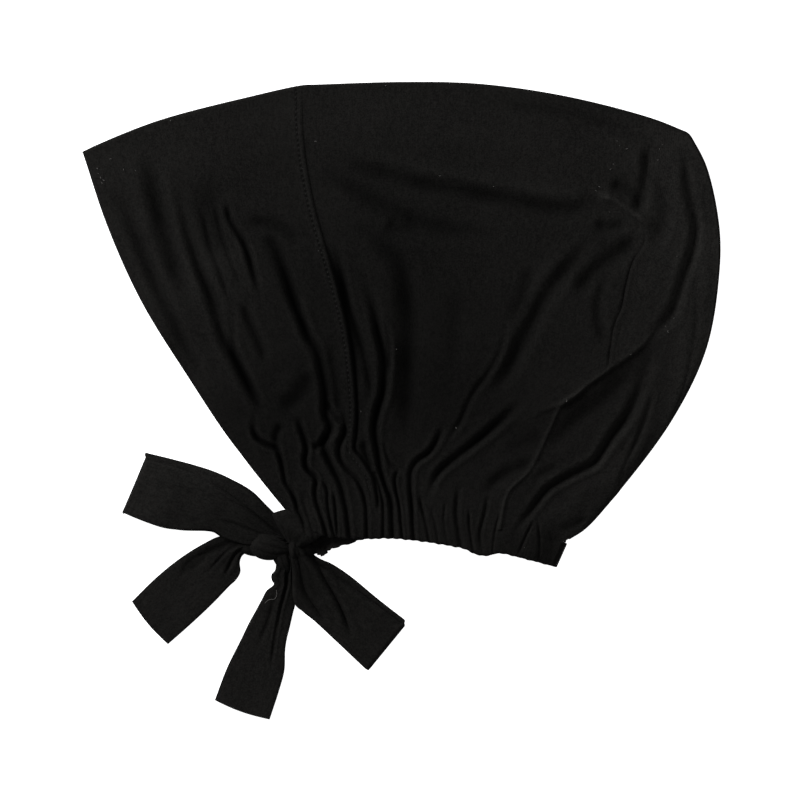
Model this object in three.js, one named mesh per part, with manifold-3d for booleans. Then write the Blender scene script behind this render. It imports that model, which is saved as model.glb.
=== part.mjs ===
// Underscarf cap of black jersey, laid flat on its side: the face opening runs down the left,
// the crown fold round the top and back, and the gathered neck casing along the foot.
// Its two ties are knotted in a bow at the front corner.
// Millimetres. +X runs from face to back, +Y from neck to crown, +Z up from the table.

import * as THREE from "three";
import { mergeVertices } from "three/addons/utils/BufferGeometryUtils.js";
import Module from "manifold-3d";

// Driving sizes of the cap

const capLength = 318.5; // front corner of the band to the back of the crown
const capHeight = 242; // crown fold to the foot of the casing
const jerseyWall = 1.2;
const bandWall = 1.6; // front band, two thicknesses of jersey
const seamGap = 0.3; // kept between neighbouring pieces
const foldRadius = 2.6; // bend of the cloth at the crown fold, to its middle
const loft = 10; // rise of the upper layer above its fold, where it is fullest
const wrinkleDepth = 3; // deepest wrinkle of the upper layer
const wrinkleWidth = 5; // half width of a broad wrinkle
const seamRidge = 0.8; // height of the turned seam allowance beside the front seam

// Driving sizes of the neck casing

const casingHeight = 12.5;
const casingWall = 2.4; // turned hem with its elastic
const casingBelly = 0.5; // how much the casing swells in the middle of its height
const gatherDepth = 1.3; // half the height of a gather at the casing
const underGatherDepth = 0.6; // the same on the layer that lies on the table

// Driving sizes of the ties and the bow

const tieWall = 1.8; // a tie is a narrow tube of jersey pressed flat
const loopEndRadius = 1.7; // bend at the folded end of a loop
const tailWidth = 27;
const loopWidth = 30.7;
const knotLength = 21;
const knotWidth = 19;
const knotHeight = 13;
const knotWrapSwell = 0.1; // share by which the wrap stands out of the knot
const strapWidth = 9;
const tieCrease = 1.4; // height of the creases that run into the knot

// Colours: one black jersey, the hems a trace deeper

const jersey = new THREE.MeshStandardMaterial({ color: 0x161615, roughness: 0.92, metalness: 0 });
const hemmed = new THREE.MeshStandardMaterial({ color: 0x121212, roughness: 0.94, metalness: 0 });

// Crown fold, front corner to the notch above the casing's tip.
// x and y are shares of capLength and capHeight, from the left end and the foot.

const crownFold = [
  { x: 0.001, y: 0.855 },
  { x: 0.024, y: 0.872 },
  { x: 0.12, y: 0.922 },
  { x: 0.268, y: 0.971 },
  { x: 0.347, y: 0.991, seam: "front" },
  { x: 0.37, y: 0.996 },
  { x: 0.504, y: 1 },
  { x: 0.623, y: 0.996 },
  { x: 0.758, y: 0.971 },
  { x: 0.892, y: 0.925, seam: "back" },
  { x: 0.942, y: 0.899 },
  { x: 0.958, y: 0.877 },
  { x: 0.98, y: 0.822 },
  { x: 0.998, y: 0.7 },
  { x: 0.997, y: 0.6 },
  { x: 0.979, y: 0.45 },
  { x: 0.925, y: 0.3 },
  { x: 0.823, y: 0.128 },
  { x: 0.788, y: 0.078 },
  { x: 0.763, y: 0.058 },
];
const frontSeamRow = crownFold.findIndex((row) => row.seam === "front");
const backSeamRow = crownFold.findIndex((row) => row.seam === "back");
const lastFoldRow = crownFold.length - 1;

// Foot of the casing on the upper layer, from the face to the tip: lean is the way up the cloth from
// there, in degrees to the right of +Y, and tall is the casing's height there as a share of casingHeight.

const casingFoot = [
  { x: 0.323, y: 0.114, lean: -30, tall: 0.56 },
  { x: 0.347, y: 0.081, lean: -19, tall: 0.85 },
  { x: 0.382, y: 0.063, lean: -8, tall: 1 },
  { x: 0.438, y: 0.057, lean: 3, tall: 1 },
  { x: 0.49, y: 0.059, lean: 5, tall: 1 },
  { x: 0.562, y: 0.046, lean: 7, tall: 1 },
  { x: 0.617, y: 0.031, lean: 9, tall: 1 },
  { x: 0.658, y: 0.027, lean: 12, tall: 1 },
  { x: 0.695, y: 0.018, lean: 16, tall: 1 },
  { x: 0.729, y: 0.008, lean: 24, tall: 1 },
];

// How far the under layer's foot lies from the upper one's, as shares of capLength and capHeight.
// at is the share of the way along the casing.

const underShift = [
  { at: 0, x: 0.041, y: -0.078 },
  { at: 0.09, x: 0.024, y: -0.056 },
  { at: 0.17, x: 0.007, y: -0.029 },
  { at: 0.25, x: 0.002, y: -0.019 },
  { at: 0.31, x: 0, y: -0.006 },
  { at: 0.36, x: 0, y: 0 },
  { at: 1, x: 0, y: 0 },
];

// Lines that run down the cloth from the crown fold to the casing, in the same shares.

const frontEdge = [
  { x: 0.001, y: 0.855 },
  { x: 0.042, y: 0.698 },
  { x: 0.094, y: 0.55 },
  { x: 0.165, y: 0.401 },
  { x: 0.242, y: 0.252 },
  { x: 0.301, y: 0.153 },
  { x: 0.312, y: 0.138 },
];
const frontSeam = [
  { x: 0.347, y: 0.991 },
  { x: 0.349, y: 0.888 },
  { x: 0.366, y: 0.75 },
  { x: 0.399, y: 0.597 },
  { x: 0.424, y: 0.465 },
  { x: 0.432, y: 0.31 },
  { x: 0.427, y: 0.242 },
  { x: 0.447, y: 0.207 },
  { x: 0.458, y: 0.11 },
];
const backSeam = [
  { x: 0.892, y: 0.925 },
  { x: 0.878, y: 0.729 },
  { x: 0.849, y: 0.537 },
  { x: 0.79, y: 0.374 },
  { x: 0.749, y: 0.316 },
  { x: 0.706, y: 0.217 },
  { x: 0.672, y: 0.136 },
  { x: 0.655, y: 0.079 },
];
const tipLine = [
  { x: 0.763, y: 0.058 },
  { x: 0.753, y: 0.05 },
];

// The panels, each between two of those lines: from and to are shares of the way along the casing,
// gathers is how many gathers its foot is drawn into.

const panels = [
  {
    name: "front_panel", from: 0, to: 0.348, gathers: 10, left: frontEdge, right: frontSeam,
    foldRows: [0, frontSeamRow], wall: bandWall, ridged: true,
  },
  {
    name: "crown_panel", from: 0.348, to: 0.79, gathers: 13, left: frontSeam, right: backSeam,
    foldRows: [frontSeamRow, backSeamRow], wall: jerseyWall, ridged: false,
  },
  {
    name: "back_panel", from: 0.79, to: 1, gathers: 5, left: backSeam, right: tipLine,
    foldRows: [backSeamRow, lastFoldRow], wall: jerseyWall, ridged: false,
  },
];
const stepsPerGather = 3;

// Height of the upper layer above the top of the crown fold, as shares of loft: at is the place along
// the casing, then the heights near the crown, half way down, low down and at the casing.

const loftRows = [
  { at: 0, crown: 0.25, middle: 0.6, low: 0.7, neck: 0.65 },
  { at: 0.35, crown: 0.45, middle: 0.8, low: 1, neck: 0.85 },
  { at: 0.6, crown: 0.45, middle: 0.85, low: 1, neck: 0.9 },
  { at: 0.79, crown: 0.45, middle: 0.8, low: 0.95, neck: 0.85 },
  { at: 0.9, crown: 0.45, middle: 0.75, low: 0.75, neck: 0.65 },
  { at: 1, crown: 0, middle: 0, low: 0, neck: 0 },
];
const loftStops = { crown: 0.15, middle: 0.5, low: 0.8, neck: 1 };

// Wrinkles of the upper layer: deep and wide are shares of wrinkleDepth and wrinkleWidth, foot says
// that the wrinkle runs on into the casing, and path is in shares of capLength and capHeight.
// Each is a valley with a ridge on the left of its way down.

const wrinkles = [
  { deep: 0.45, wide: 1.2, foot: false, path: [[0.107, 0.839], [0.127, 0.717], [0.146, 0.636]] },
  { deep: 0.5, wide: 1, foot: false,
    path: [[0.052, 0.798], [0.104, 0.63], [0.147, 0.504], [0.202, 0.351]] },
  { deep: 0.75, wide: 0.8, foot: true,
    path: [[0.152, 0.802], [0.174, 0.669], [0.221, 0.481], [0.273, 0.337]] },
  { deep: 0.55, wide: 0.6, foot: false, path: [[0.229, 0.758], [0.257, 0.661], [0.283, 0.556]] },
  { deep: 0.85, wide: 0.8, foot: true,
    path: [[0.304, 0.659], [0.347, 0.504], [0.38, 0.384], [0.386, 0.252], [0.414, 0.113]] },
  { deep: 0.6, wide: 0.6, foot: true, path: [[0.399, 0.669], [0.435, 0.471], [0.454, 0.343]] },
  { deep: 0.85, wide: 1, foot: true,
    path: [[0.441, 0.707], [0.504, 0.579], [0.513, 0.446], [0.502, 0.283]] },
  { deep: 0.8, wide: 0.7, foot: true,
    path: [[0.449, 0.568], [0.474, 0.405], [0.461, 0.25], [0.502, 0.076]] },
  { deep: 0.45, wide: 1.2, foot: false, path: [[0.421, 0.802], [0.498, 0.75], [0.549, 0.717]] },
  { deep: 0.75, wide: 1, foot: false,
    path: [[0.54, 0.791], [0.659, 0.754], [0.768, 0.733], [0.812, 0.758]] },
  { deep: 0.8, wide: 1.1, foot: false,
    path: [[0.791, 0.686], [0.711, 0.531], [0.669, 0.405], [0.628, 0.331]] },
  { deep: 0.55, wide: 0.8, foot: true, path: [[0.669, 0.502], [0.606, 0.337], [0.578, 0.262]] },
  { deep: 0.4, wide: 1, foot: false, path: [[0.882, 0.682], [0.819, 0.628], [0.78, 0.566]] },
  { deep: 0.9, wide: 0.8, foot: true,
    path: [[0.692, 0.341], [0.623, 0.264], [0.559, 0.196], [0.546, 0.153]] },
  { deep: 0.7, wide: 0.6, foot: true, path: [[0.564, 0.275], [0.523, 0.211], [0.516, 0.124]] },
  { deep: 0.8, wide: 0.9, foot: true,
    path: [[0.832, 0.275], [0.791, 0.207], [0.717, 0.143], [0.661, 0.039]] },
  { deep: 0.6, wide: 1, foot: false,
    path: [[0.945, 0.857], [0.964, 0.688], [0.934, 0.558], [0.867, 0.452]] },
  { deep: 0.7, wide: 1.3, foot: false, path: [[0.91, 0.48], [0.83, 0.382], [0.75, 0.33], [0.69, 0.3]] },
  { deep: 0.45, wide: 0.8, foot: false, path: [[0.876, 0.364], [0.843, 0.263], [0.831, 0.2]] },
];

// Ties from the knot outwards, along the middle line of each strip. x and y are as above, wide is a
// share of the strip's own width, under is the height of the strip's underside and over how far a
// loop's upper run stands above its tightest, both as shares of knotHeight.

const upperLoop = [
  { x: 0.283, y: 0.079, wide: 0.4, under: 0.38, over: 0 },
  { x: 0.264, y: 0.093, wide: 0.68, under: 0.3, over: 0.08 },
  { x: 0.223, y: 0.121, wide: 0.98, under: 0.12, over: 0.2 },
  { x: 0.151, y: 0.146, wide: 1.07, under: 0, over: 0.16 },
  { x: 0.085, y: 0.173, wide: 1, under: 0, over: 0 },
];
const lowerLoop = [
  { x: 0.325, y: 0.024, wide: 0.36, under: 0.38, over: 0 },
  { x: 0.346, y: -0.006, wide: 0.62, under: 0.3, over: 0.08 },
  { x: 0.391, y: -0.064, wide: 0.92, under: 0.1, over: 0.2 },
  { x: 0.433, y: -0.113, wide: 0.96, under: 0, over: 0.12 },
  { x: 0.476, y: -0.161, wide: 1, under: 0, over: 0 },
];
const leftTail = [
  { x: 0.272, y: 0.046, wide: 0.36, under: 0.1 },
  { x: 0.243, y: 0.032, wide: 0.46, under: 0.1 },
  { x: 0.222, y: 0.01, wide: 0.8, under: 0.06 },
  { x: 0.182, y: -0.028, wide: 1, under: 0 },
  { x: 0.108, y: -0.112, wide: 1, under: 0 },
];
const bottomTail = [
  { x: 0.309, y: 0.02, wide: 0.36, under: 0.1 },
  { x: 0.312, y: -0.045, wide: 0.44, under: 0.1 },
  { x: 0.304, y: -0.083, wide: 0.62, under: 0.08 },
  { x: 0.286, y: -0.145, wide: 0.8, under: 0 },
  { x: 0.252, y: -0.292, wide: 1.04, under: 0 },
];
const knotPlace = { x: 0.299, y: 0.052 };
const knotTurn = 28; // degrees that the knot's long way is turned from +X
const strapEntry = { upper: 0.62, under: 0.22 }; // underside of each strap at the knot, of knotHeight

// Small helpers

const placed = (row) => new THREE.Vector3(row.x * capLength, row.y * capHeight, 0);
const clamp = THREE.MathUtils.clamp;
const smooth = THREE.MathUtils.smoothstep;
const mix = THREE.MathUtils.lerp;
const up = new THREE.Vector3(0, 0, 1);

function curveThrough(rows) {
  return new THREE.CatmullRomCurve3(rows.map(placed), false, "centripetal");
}

function readTable(rows, key, at, column) {
  const last = rows.length - 1;
  let index = 0;
  while (index < last - 1 && at > rows[index + 1][key]) index += 1;
  const [low, high] = [rows[index], rows[index + 1]];
  const share = clamp((at - low[key]) / (high[key] - low[key]), 0, 1);
  return mix(low[column], high[column], smooth(share, 0, 1));
}

function leftOf(direction) {
  return new THREE.Vector3(-direction.y, direction.x, 0).normalize();
}

// The stretch of a curve between two of its rows, read by share of its length

function stretchOf(curve, rowCount, [fromRow, toRow]) {
  const samples = 200;
  const params = [];
  const lengths = [0];
  for (let step = 0; step <= samples; step += 1) {
    params.push(mix(fromRow, toRow, step / samples) / (rowCount - 1));
    if (step === 0) continue;
    const run = curve.getPoint(params[step]).distanceTo(curve.getPoint(params[step - 1]));
    lengths.push(lengths[step - 1] + run);
  }
  return (share) => {
    const wanted = share * lengths[samples];
    let step = 1;
    while (step < samples && lengths[step] < wanted) step += 1;
    const part = (wanted - lengths[step - 1]) / (lengths[step] - lengths[step - 1]);
    const param = mix(params[step - 1], params[step], part);
    return { place: curve.getPoint(param), tangent: curve.getTangent(param) };
  };
}

// A closed wall between two grids of points, outer and inner, with its rim all round.

function wallGeometry(columns, rows, outer, inner) {
  const points = [];
  const faces = [];
  const number = (column, row, layer) => (layer * (columns + 1) + column) * (rows + 1) + row;
  for (const layer of [outer, inner]) {
    for (let column = 0; column <= columns; column += 1) {
      for (let row = 0; row <= rows; row += 1) points.push(...layer(column, row).toArray());
    }
  }
  const quad = (a, b, c, d) => faces.push(a, b, c, a, c, d);
  for (let column = 0; column < columns; column += 1) {
    for (let row = 0; row < rows; row += 1) {
      const corners = [[column, row], [column + 1, row], [column + 1, row + 1], [column, row + 1]];
      quad(...corners.map(([c, r]) => number(c, r, 0)));
      quad(...corners.reverse().map(([c, r]) => number(c, r, 1)));
    }
  }
  const rim = (from, to) => quad(number(...to, 0), number(...from, 0), number(...from, 1), number(...to, 1));
  for (let column = 0; column < columns; column += 1) {
    rim([column, 0], [column + 1, 0]);
    rim([column + 1, rows], [column, rows]);
  }
  for (let row = 0; row < rows; row += 1) {
    rim([columns, row], [columns, row + 1]);
    rim([0, row + 1], [0, row]);
  }
  const geometry = new THREE.BufferGeometry();
  geometry.setAttribute("position", new THREE.Float32BufferAttribute(points, 3));
  geometry.setIndex(faces);
  return facingOut(geometry);
}

function facingOut(geometry) {
  const place = geometry.attributes.position;
  const index = geometry.index.array;
  const [a, b, c] = [new THREE.Vector3(), new THREE.Vector3(), new THREE.Vector3()];
  let volume = 0;
  for (let corner = 0; corner < index.length; corner += 3) {
    a.fromBufferAttribute(place, index[corner]);
    b.fromBufferAttribute(place, index[corner + 1]);
    c.fromBufferAttribute(place, index[corner + 2]);
    volume += a.dot(b.cross(c));
  }
  if (volume < 0) {
    for (let corner = 0; corner < index.length; corner += 3) {
      [index[corner], index[corner + 1]] = [index[corner + 1], index[corner]];
    }
  }
  return geometry;
}

// The neck line: foot of the casing and its top, where the panels are sewn on

const footCurve = curveThrough(casingFoot);

function footRow(along, column) {
  const at = along * (casingFoot.length - 1);
  const index = Math.min(Math.floor(at), casingFoot.length - 2);
  return mix(casingFoot[index][column], casingFoot[index + 1][column], at - index);
}

function underStray(along) {
  const row = { x: readTable(underShift, "at", along, "x"), y: readTable(underShift, "at", along, "y") };
  return placed(row);
}

// Side is 1 on the upper layer and -1 on the under one; climb runs from 0 at the foot to 1 at the seam.

function casingPlan(along, side, climb) {
  const place = footCurve.getPointAt(along);
  const step = footCurve.getUtoTmapping(along);
  const lean = THREE.MathUtils.degToRad(footRow(step, "lean"));
  const tall = casingHeight * footRow(step, "tall");
  const way = new THREE.Vector3(Math.sin(lean), Math.cos(lean), 0);
  if (side < 0) place.add(underStray(along));
  return place.addScaledVector(way, tall * climb);
}

// Heights of the middle of the cloth. The gathers start at the shares of the way down in gatherReach
// and die out within gatherEnds of the casing's two ends.

const gatherReach = { upper: 0.68, under: 0.8, full: 0.97 };
const gatherEnds = { front: 0.03, tip: 0.06 };

function loftAt(along, down) {
  const stops = [
    { stop: 0, rise: 0 },
    ...Object.entries(loftStops).map(([column, stop]) => ({
      stop,
      rise: readTable(loftRows, "at", along, column),
    })),
  ];
  return loft * readTable(stops, "stop", down, "rise");
}

function gatherPhase(along) {
  let passed = 0;
  for (const panel of panels) {
    if (along <= panel.to) return passed + (panel.gathers * (along - panel.from)) / (panel.to - panel.from);
    passed += panel.gathers;
  }
  return passed;
}

function gatherAt(along, side, down) {
  const wave = Math.cos(2 * Math.PI * gatherPhase(along));
  const ends = smooth(along, 0, gatherEnds.front) * smooth(1 - along, 0, gatherEnds.tip);
  if (side > 0) return gatherDepth * wave * ends * smooth(down, gatherReach.upper, gatherReach.full);
  return underGatherDepth * (1 + wave) * ends * smooth(down, gatherReach.under, 1);
}

// Wrinkles: signed distance to each path, as short straight steps along a smooth curve

const wrinkleSteps = 10;
const wrinkleForm = { valley: 0.6, ridge: 0.5, ridgeAside: 1.7, fade: 0.3 };
const wrinkleLines = wrinkles.map((row) => ({
  ...row,
  points: curveThrough(row.path.map(([x, y]) => ({ x, y }))).getPoints(wrinkleSteps),
}));

function nearestOn(points, place) {
  let best = { far: Infinity, aside: 0, along: 0 };
  for (let index = 0; index < points.length - 1; index += 1) {
    const run = points[index + 1].clone().sub(points[index]);
    const offset = place.clone().sub(points[index]).setZ(0);
    const share = clamp(offset.dot(run) / run.lengthSq(), 0, 1);
    const gap = offset.clone().addScaledVector(run, -share);
    const far = gap.length();
    if (far < best.far) {
      const aside = gap.dot(leftOf(run)) < 0 ? -far : far;
      best = { far, aside, along: (index + share) / (points.length - 1) };
    }
  }
  return best;
}

function wrinkleAt(place) {
  let height = 0;
  for (const wrinkle of wrinkleLines) {
    const { aside, along } = nearestOn(wrinkle.points, place);
    const width = wrinkle.wide * wrinkleWidth;
    const endFade = wrinkle.foot ? 1 : smooth(1 - along, 0, wrinkleForm.fade);
    const fade = smooth(along, 0, wrinkleForm.fade) * endFade;
    const valley = wrinkleForm.valley * Math.exp(-((aside / width) ** 2));
    const ridge = wrinkleForm.ridge * Math.exp(-((aside / width + wrinkleForm.ridgeAside) ** 2));
    height += wrinkle.deep * wrinkleDepth * fade * (ridge - valley);
  }
  return height;
}

// A panel of the cap, from the under layer's neck round the crown fold to the upper layer's neck

const underStops = [1, 0.92, 0.8, 0.6, 0.4, 0.2, 0];
const turnStops = [-45, 0, 45];
const strayPower = 6; // the under layer leaves the upper one only near its foot
const foldFade = 0.08; // share of the way down in which wrinkles grow from the flat crown fold
const tipFade = 0.05; // share of the casing before its tip in which they die out
const seamRidgeSpan = { from: 0.93, to: 0.98 }; // share of the front panel where its ridge rises
const upperStops = [0, 0.08, 0.18, 0.3, 0.42, 0.54, 0.65, 0.75, 0.84, 0.92, 1];
const clothRows = [
  ...underStops.map((down) => ({ side: -1, down, turn: 90 })),
  ...turnStops.map((turn) => ({ side: turn < 0 ? -1 : 1, down: 0, turn: Math.abs(turn) })),
  ...upperStops.map((down) => ({ side: 1, down, turn: 90 })),
];

function bulgeOf(rows, share) {
  const line = curveThrough(rows);
  const chord = placed(rows[0]).lerp(placed(rows.at(-1)), share);
  return line.getPointAt(share).sub(chord);
}

const foldCurve = curveThrough(crownFold);

function panelPoint(panel, foldAt, share, row, inset) {
  const fold = foldAt(share);
  const along = mix(panel.from, panel.to, share);
  const inward = leftOf(fold.tangent).negate();
  const neck = casingPlan(along, 1, 1);
  const edge = fold.place.addScaledVector(inward, panel.wall / 2);
  const begin = edge.clone().addScaledVector(inward, foldRadius);
  const climbed = new THREE.Vector3().subVectors(begin, neck).normalize();
  neck.addScaledVector(climbed, seamGap / 2);
  const turn = THREE.MathUtils.degToRad(row.turn);
  const place = begin.clone().addScaledVector(inward, -foldRadius * Math.cos(turn));
  const out = inward.clone().multiplyScalar(-Math.cos(turn)).addScaledVector(up, row.side * Math.sin(turn));
  if (row.turn === 90) {
    const bulge = bulgeOf(panel.left, row.down).multiplyScalar(1 - share);
    bulge.add(bulgeOf(panel.right, row.down).multiplyScalar(share));
    place.lerp(neck, row.down).add(bulge);
    if (row.side < 0) place.addScaledVector(underStray(along), row.down ** strayPower);
  }
  if (inset !== 0) place.addScaledVector(leftOf(climbed).negate(), inset);
  place.z = panel.wall / 2 + foldRadius * (1 + row.side * Math.sin(turn));
  if (row.side > 0) {
    const grown = smooth(row.down, 0, foldFade);
    const besideSeam = panel.ridged ? smooth(share, seamRidgeSpan.from, seamRidgeSpan.to) : 0;
    place.z += loftAt(along, row.down) + seamRidge * besideSeam * grown;
    place.z += grown * smooth(1 - along, 0, tipFade) * wrinkleAt(place);
  }
  place.z += gatherAt(along, row.side, row.down) * (row.turn === 90 ? 1 : 0);
  return { place, out };
}

function panelMesh(panel, index) {
  const foldAt = stretchOf(foldCurve, crownFold.length, panel.foldRows);
  const columns = panel.gathers * stepsPerGather;
  const rows = clothRows.length - 1;
  const middle = [];
  for (let column = 0; column <= columns; column += 1) {
    let inset = 0;
    if (column === 0 && index > 0) inset = seamGap / 2;
    if (column === columns && index < panels.length - 1) inset = -seamGap / 2;
    middle.push(clothRows.map((row) => panelPoint(panel, foldAt, column / columns, row, inset)));
  }
  const face = (offset) => (column, row) => {
    const { place, out } = middle[column][row];
    return place.clone().addScaledVector(out, offset);
  };
  const geometry = wallGeometry(columns, rows, face(panel.wall / 2), face(-panel.wall / 2));
  return new THREE.Mesh(geometry, jersey);
}

// The casing: one band along the upper neck, round the tip and back along the under layer

const climbStops = [0, 0.5, 1];
const tipTurns = [45, 90, 135];

function casingStations() {
  const alongStops = [];
  for (const panel of panels) {
    const columns = panel.gathers * stepsPerGather;
    for (let column = 0; column < columns; column += 1) {
      alongStops.push(mix(panel.from, panel.to, column / columns));
    }
  }
  alongStops.push(1);
  const upper = alongStops.map((along) => ({ along, side: 1, turn: 0 }));
  const tip = tipTurns.map((turn) => ({ along: 1, side: turn <= 90 ? 1 : -1, turn }));
  const under = alongStops.toReversed().map((along) => ({ along, side: -1, turn: 180 }));
  return [...upper, ...tip, ...under];
}

function casingPoint(station, climb) {
  const { along, side, turn } = station;
  const radians = THREE.MathUtils.degToRad(turn);
  const place = casingPlan(along, side, climb);
  const towardsCrown = casingPlan(along, side, 1).sub(casingPlan(along, side, 0)).normalize();
  if (climb === 1) place.addScaledVector(towardsCrown, -seamGap / 2);
  const onward = footCurve.getTangentAt(along);
  place.addScaledVector(onward, foldRadius * Math.sin(radians));
  place.z = casingWall / 2 + foldRadius * (1 + Math.cos(radians));
  if (side > 0 && turn === 0) place.z += loftAt(along, 1);
  place.z += gatherAt(along, side, 1) * (turn === 0 || turn === 180 ? 1 : 0);
  const out = onward.multiplyScalar(Math.sin(radians)).addScaledVector(up, Math.cos(radians));
  return { place, out };
}

function casingMesh() {
  const stations = casingStations();
  const middle = stations.map((station) => climbStops.map((climb) => casingPoint(station, climb)));
  const face = (sign) => (column, row) => {
    const { place, out } = middle[column][row];
    const swell = sign > 0 && row === 1 && out.z > 0 ? casingBelly : 0;
    return place.clone().addScaledVector(out, (sign * casingWall) / 2 + swell);
  };
  const columns = stations.length - 1;
  return new THREE.Mesh(wallGeometry(columns, climbStops.length - 1, face(1), face(-1)), hemmed);
}

// Strips of tie. The middle line is sampled evenly, creases run along it and die out towards its end.

const stripSteps = 8;
const stripSides = 4;
const creaseCount = 1.5; // creases on either side of a strip's middle
const creaseFade = 1.5; // power by which they die out
const loopTurns = [135, 90, 45];

function stripStation(rows, width, share) {
  const at = share * (rows.length - 1);
  const index = Math.min(Math.floor(at), rows.length - 2);
  const part = at - index;
  const line = curveThrough(rows);
  return {
    place: line.getPoint(share),
    tangent: line.getTangent(share),
    width: width * mix(rows[index].wide, rows[index + 1].wide, smooth(part, 0, 1)),
    under: knotHeight * mix(rows[index].under, rows[index + 1].under, smooth(part, 0, 1)),
    over: knotHeight * mix(rows[index].over ?? 0, rows[index + 1].over ?? 0, smooth(part, 0, 1)),
  };
}

function stripPoint(station, across, share, level) {
  const wave = 0.5 + 0.5 * Math.cos(2 * Math.PI * creaseCount * across);
  const crease = tieCrease * (1 - share) ** creaseFade * wave;
  const place = station.place.clone();
  place.addScaledVector(leftOf(station.tangent), (across * station.width) / 2);
  place.z = level + crease;
  return place;
}

function tailGeometry(rows, width) {
  const face = (sign) => (column, row) => {
    const share = column / stripSteps;
    const station = stripStation(rows, width, share);
    const level = tieWall / 2 + station.under;
    const place = stripPoint(station, (2 * row) / stripSides - 1, share, level);
    return place.addScaledVector(up, (sign * tieWall) / 2);
  };
  return wallGeometry(stripSteps, stripSides, face(1), face(-1));
}

// A loop goes out along its under run, turns at its end and comes back on top.

function loopGeometry(rows, width) {
  const stations = [];
  for (let step = 0; step <= stripSteps; step += 1) stations.push({ share: step / stripSteps, turn: 180 });
  for (const turn of loopTurns) stations.push({ share: 1, turn });
  for (let step = stripSteps; step >= 0; step -= 1) stations.push({ share: step / stripSteps, turn: 0 });
  const face = (sign) => (column, row) => {
    const { share, turn } = stations[column];
    const station = stripStation(rows, width, share);
    const radians = THREE.MathUtils.degToRad(turn);
    const open = loopEndRadius + station.over / 2;
    const level = tieWall / 2 + station.under + open * (1 + Math.cos(radians));
    const place = stripPoint(station, (2 * row) / stripSides - 1, share, level);
    const reach = loopEndRadius + tieWall / 2;
    const setBack = turn % 180 === 0 ? reach * share : reach - loopEndRadius * Math.sin(radians);
    place.addScaledVector(station.tangent, -setBack);
    const out = station.tangent.clone().multiplyScalar(Math.sin(radians));
    out.addScaledVector(up, Math.cos(radians));
    return place.addScaledVector(out, (sign * tieWall) / 2);
  };
  return wallGeometry(stations.length - 1, stripSides, face(1), face(-1));
}

// The knot, a bean with its wrap standing out across the middle. Grown makes room for its neighbours.

const knotSides = { round: 16, high: 10 };
const wrapSpread = 0.4; // half width of the wrap, as a share of the knot's half length

function knotGeometry(grown) {
  const ball = new THREE.SphereGeometry(1, knotSides.round, knotSides.high);
  ball.deleteAttribute("uv");
  ball.deleteAttribute("normal");
  const geometry = mergeVertices(ball, 1e-4);
  const place = geometry.attributes.position;
  const turned = new THREE.Matrix4().makeRotationZ(THREE.MathUtils.degToRad(knotTurn));
  const centre = placed(knotPlace).setZ(knotHeight / 2);
  const point = new THREE.Vector3();
  for (let index = 0; index < place.count; index += 1) {
    point.fromBufferAttribute(place, index);
    const wrap = 1 + knotWrapSwell * (Math.exp(-((point.x / wrapSpread) ** 2)) - 1);
    point.x *= knotLength / 2 + grown;
    point.y *= (knotWidth / 2) * wrap + grown;
    point.z *= (knotHeight / 2) * wrap + grown;
    point.applyMatrix4(turned).add(centre);
    place.setXYZ(index, ...point.toArray());
  }
  return facingOut(geometry);
}

// The two straps that carry the casing's ends into the knot

const strapSteps = 6;
const strapCreases = 2;
const strapTurned = 0.6; // share of a strap in which it turns from the casing's way to the knot's
const strapPleated = 0.4; // share of a strap in which its creases grow

function strapGeometry(side) {
  const begin = casingPlan(0, side, 0.5);
  const heading = footCurve.getTangentAt(0);
  begin.addScaledVector(heading, -seamGap);
  const end = placed(knotPlace);
  const beginLevel = casingWall / 2 + (side > 0 ? 2 * foldRadius + loftAt(0, 1) : 0);
  const endLevel = casingWall / 2 + knotHeight * (side > 0 ? strapEntry.upper : strapEntry.under);
  const beginWay = casingPlan(0, side, 1).sub(casingPlan(0, side, 0));
  const beginWidth = Math.min(strapWidth, beginWay.length() - seamGap);
  beginWay.normalize();
  const endWay = leftOf(new THREE.Vector3().subVectors(end, begin)).negate();
  const face = (sign) => (column, row) => {
    const share = column / strapSteps;
    const place = begin.clone().lerp(end, share);
    const way = beginWay.clone().lerp(endWay, smooth(share, 0, strapTurned)).normalize();
    const across = row / stripSides - 0.5;
    const wave = 0.5 + 0.5 * Math.cos(2 * Math.PI * strapCreases * across);
    place.addScaledVector(way, across * mix(beginWidth, strapWidth, share));
    place.z = mix(beginLevel, endLevel, smooth(share, 0, 1));
    place.z += tieCrease * smooth(share, 0, strapPleated) * wave;
    return place.addScaledVector(up, (sign * casingWall) / 2);
  };
  return wallGeometry(strapSteps, stripSides, face(1), face(-1));
}

// Boolean cuts: a strip ends on the face of the knot, with the seam gap left free

const wasm = await Module();
wasm.setup();

function asSolid(geometry) {
  return new wasm.Manifold(
    new wasm.Mesh({
      numProp: 3,
      vertProperties: new Float32Array(geometry.attributes.position.array),
      triVerts: new Uint32Array(geometry.index.array),
    }),
  );
}

function asGeometry(solid) {
  const { vertProperties, triVerts } = solid.getMesh();
  const geometry = new THREE.BufferGeometry();
  geometry.setAttribute("position", new THREE.Float32BufferAttribute(vertProperties, 3));
  geometry.setIndex(Array.from(triVerts));
  return geometry;
}

function trimmed(geometry, cutter) {
  const pieces = asSolid(geometry).subtract(cutter).decompose();
  pieces.sort((a, b) => b.volume() - a.volume());
  return asGeometry(pieces[0]);
}

// Assembly: the front corner of the band is at x = 0 and the foot of the casing's tip at y = 0,
// then the whole is centred over the middle of its box.

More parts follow.
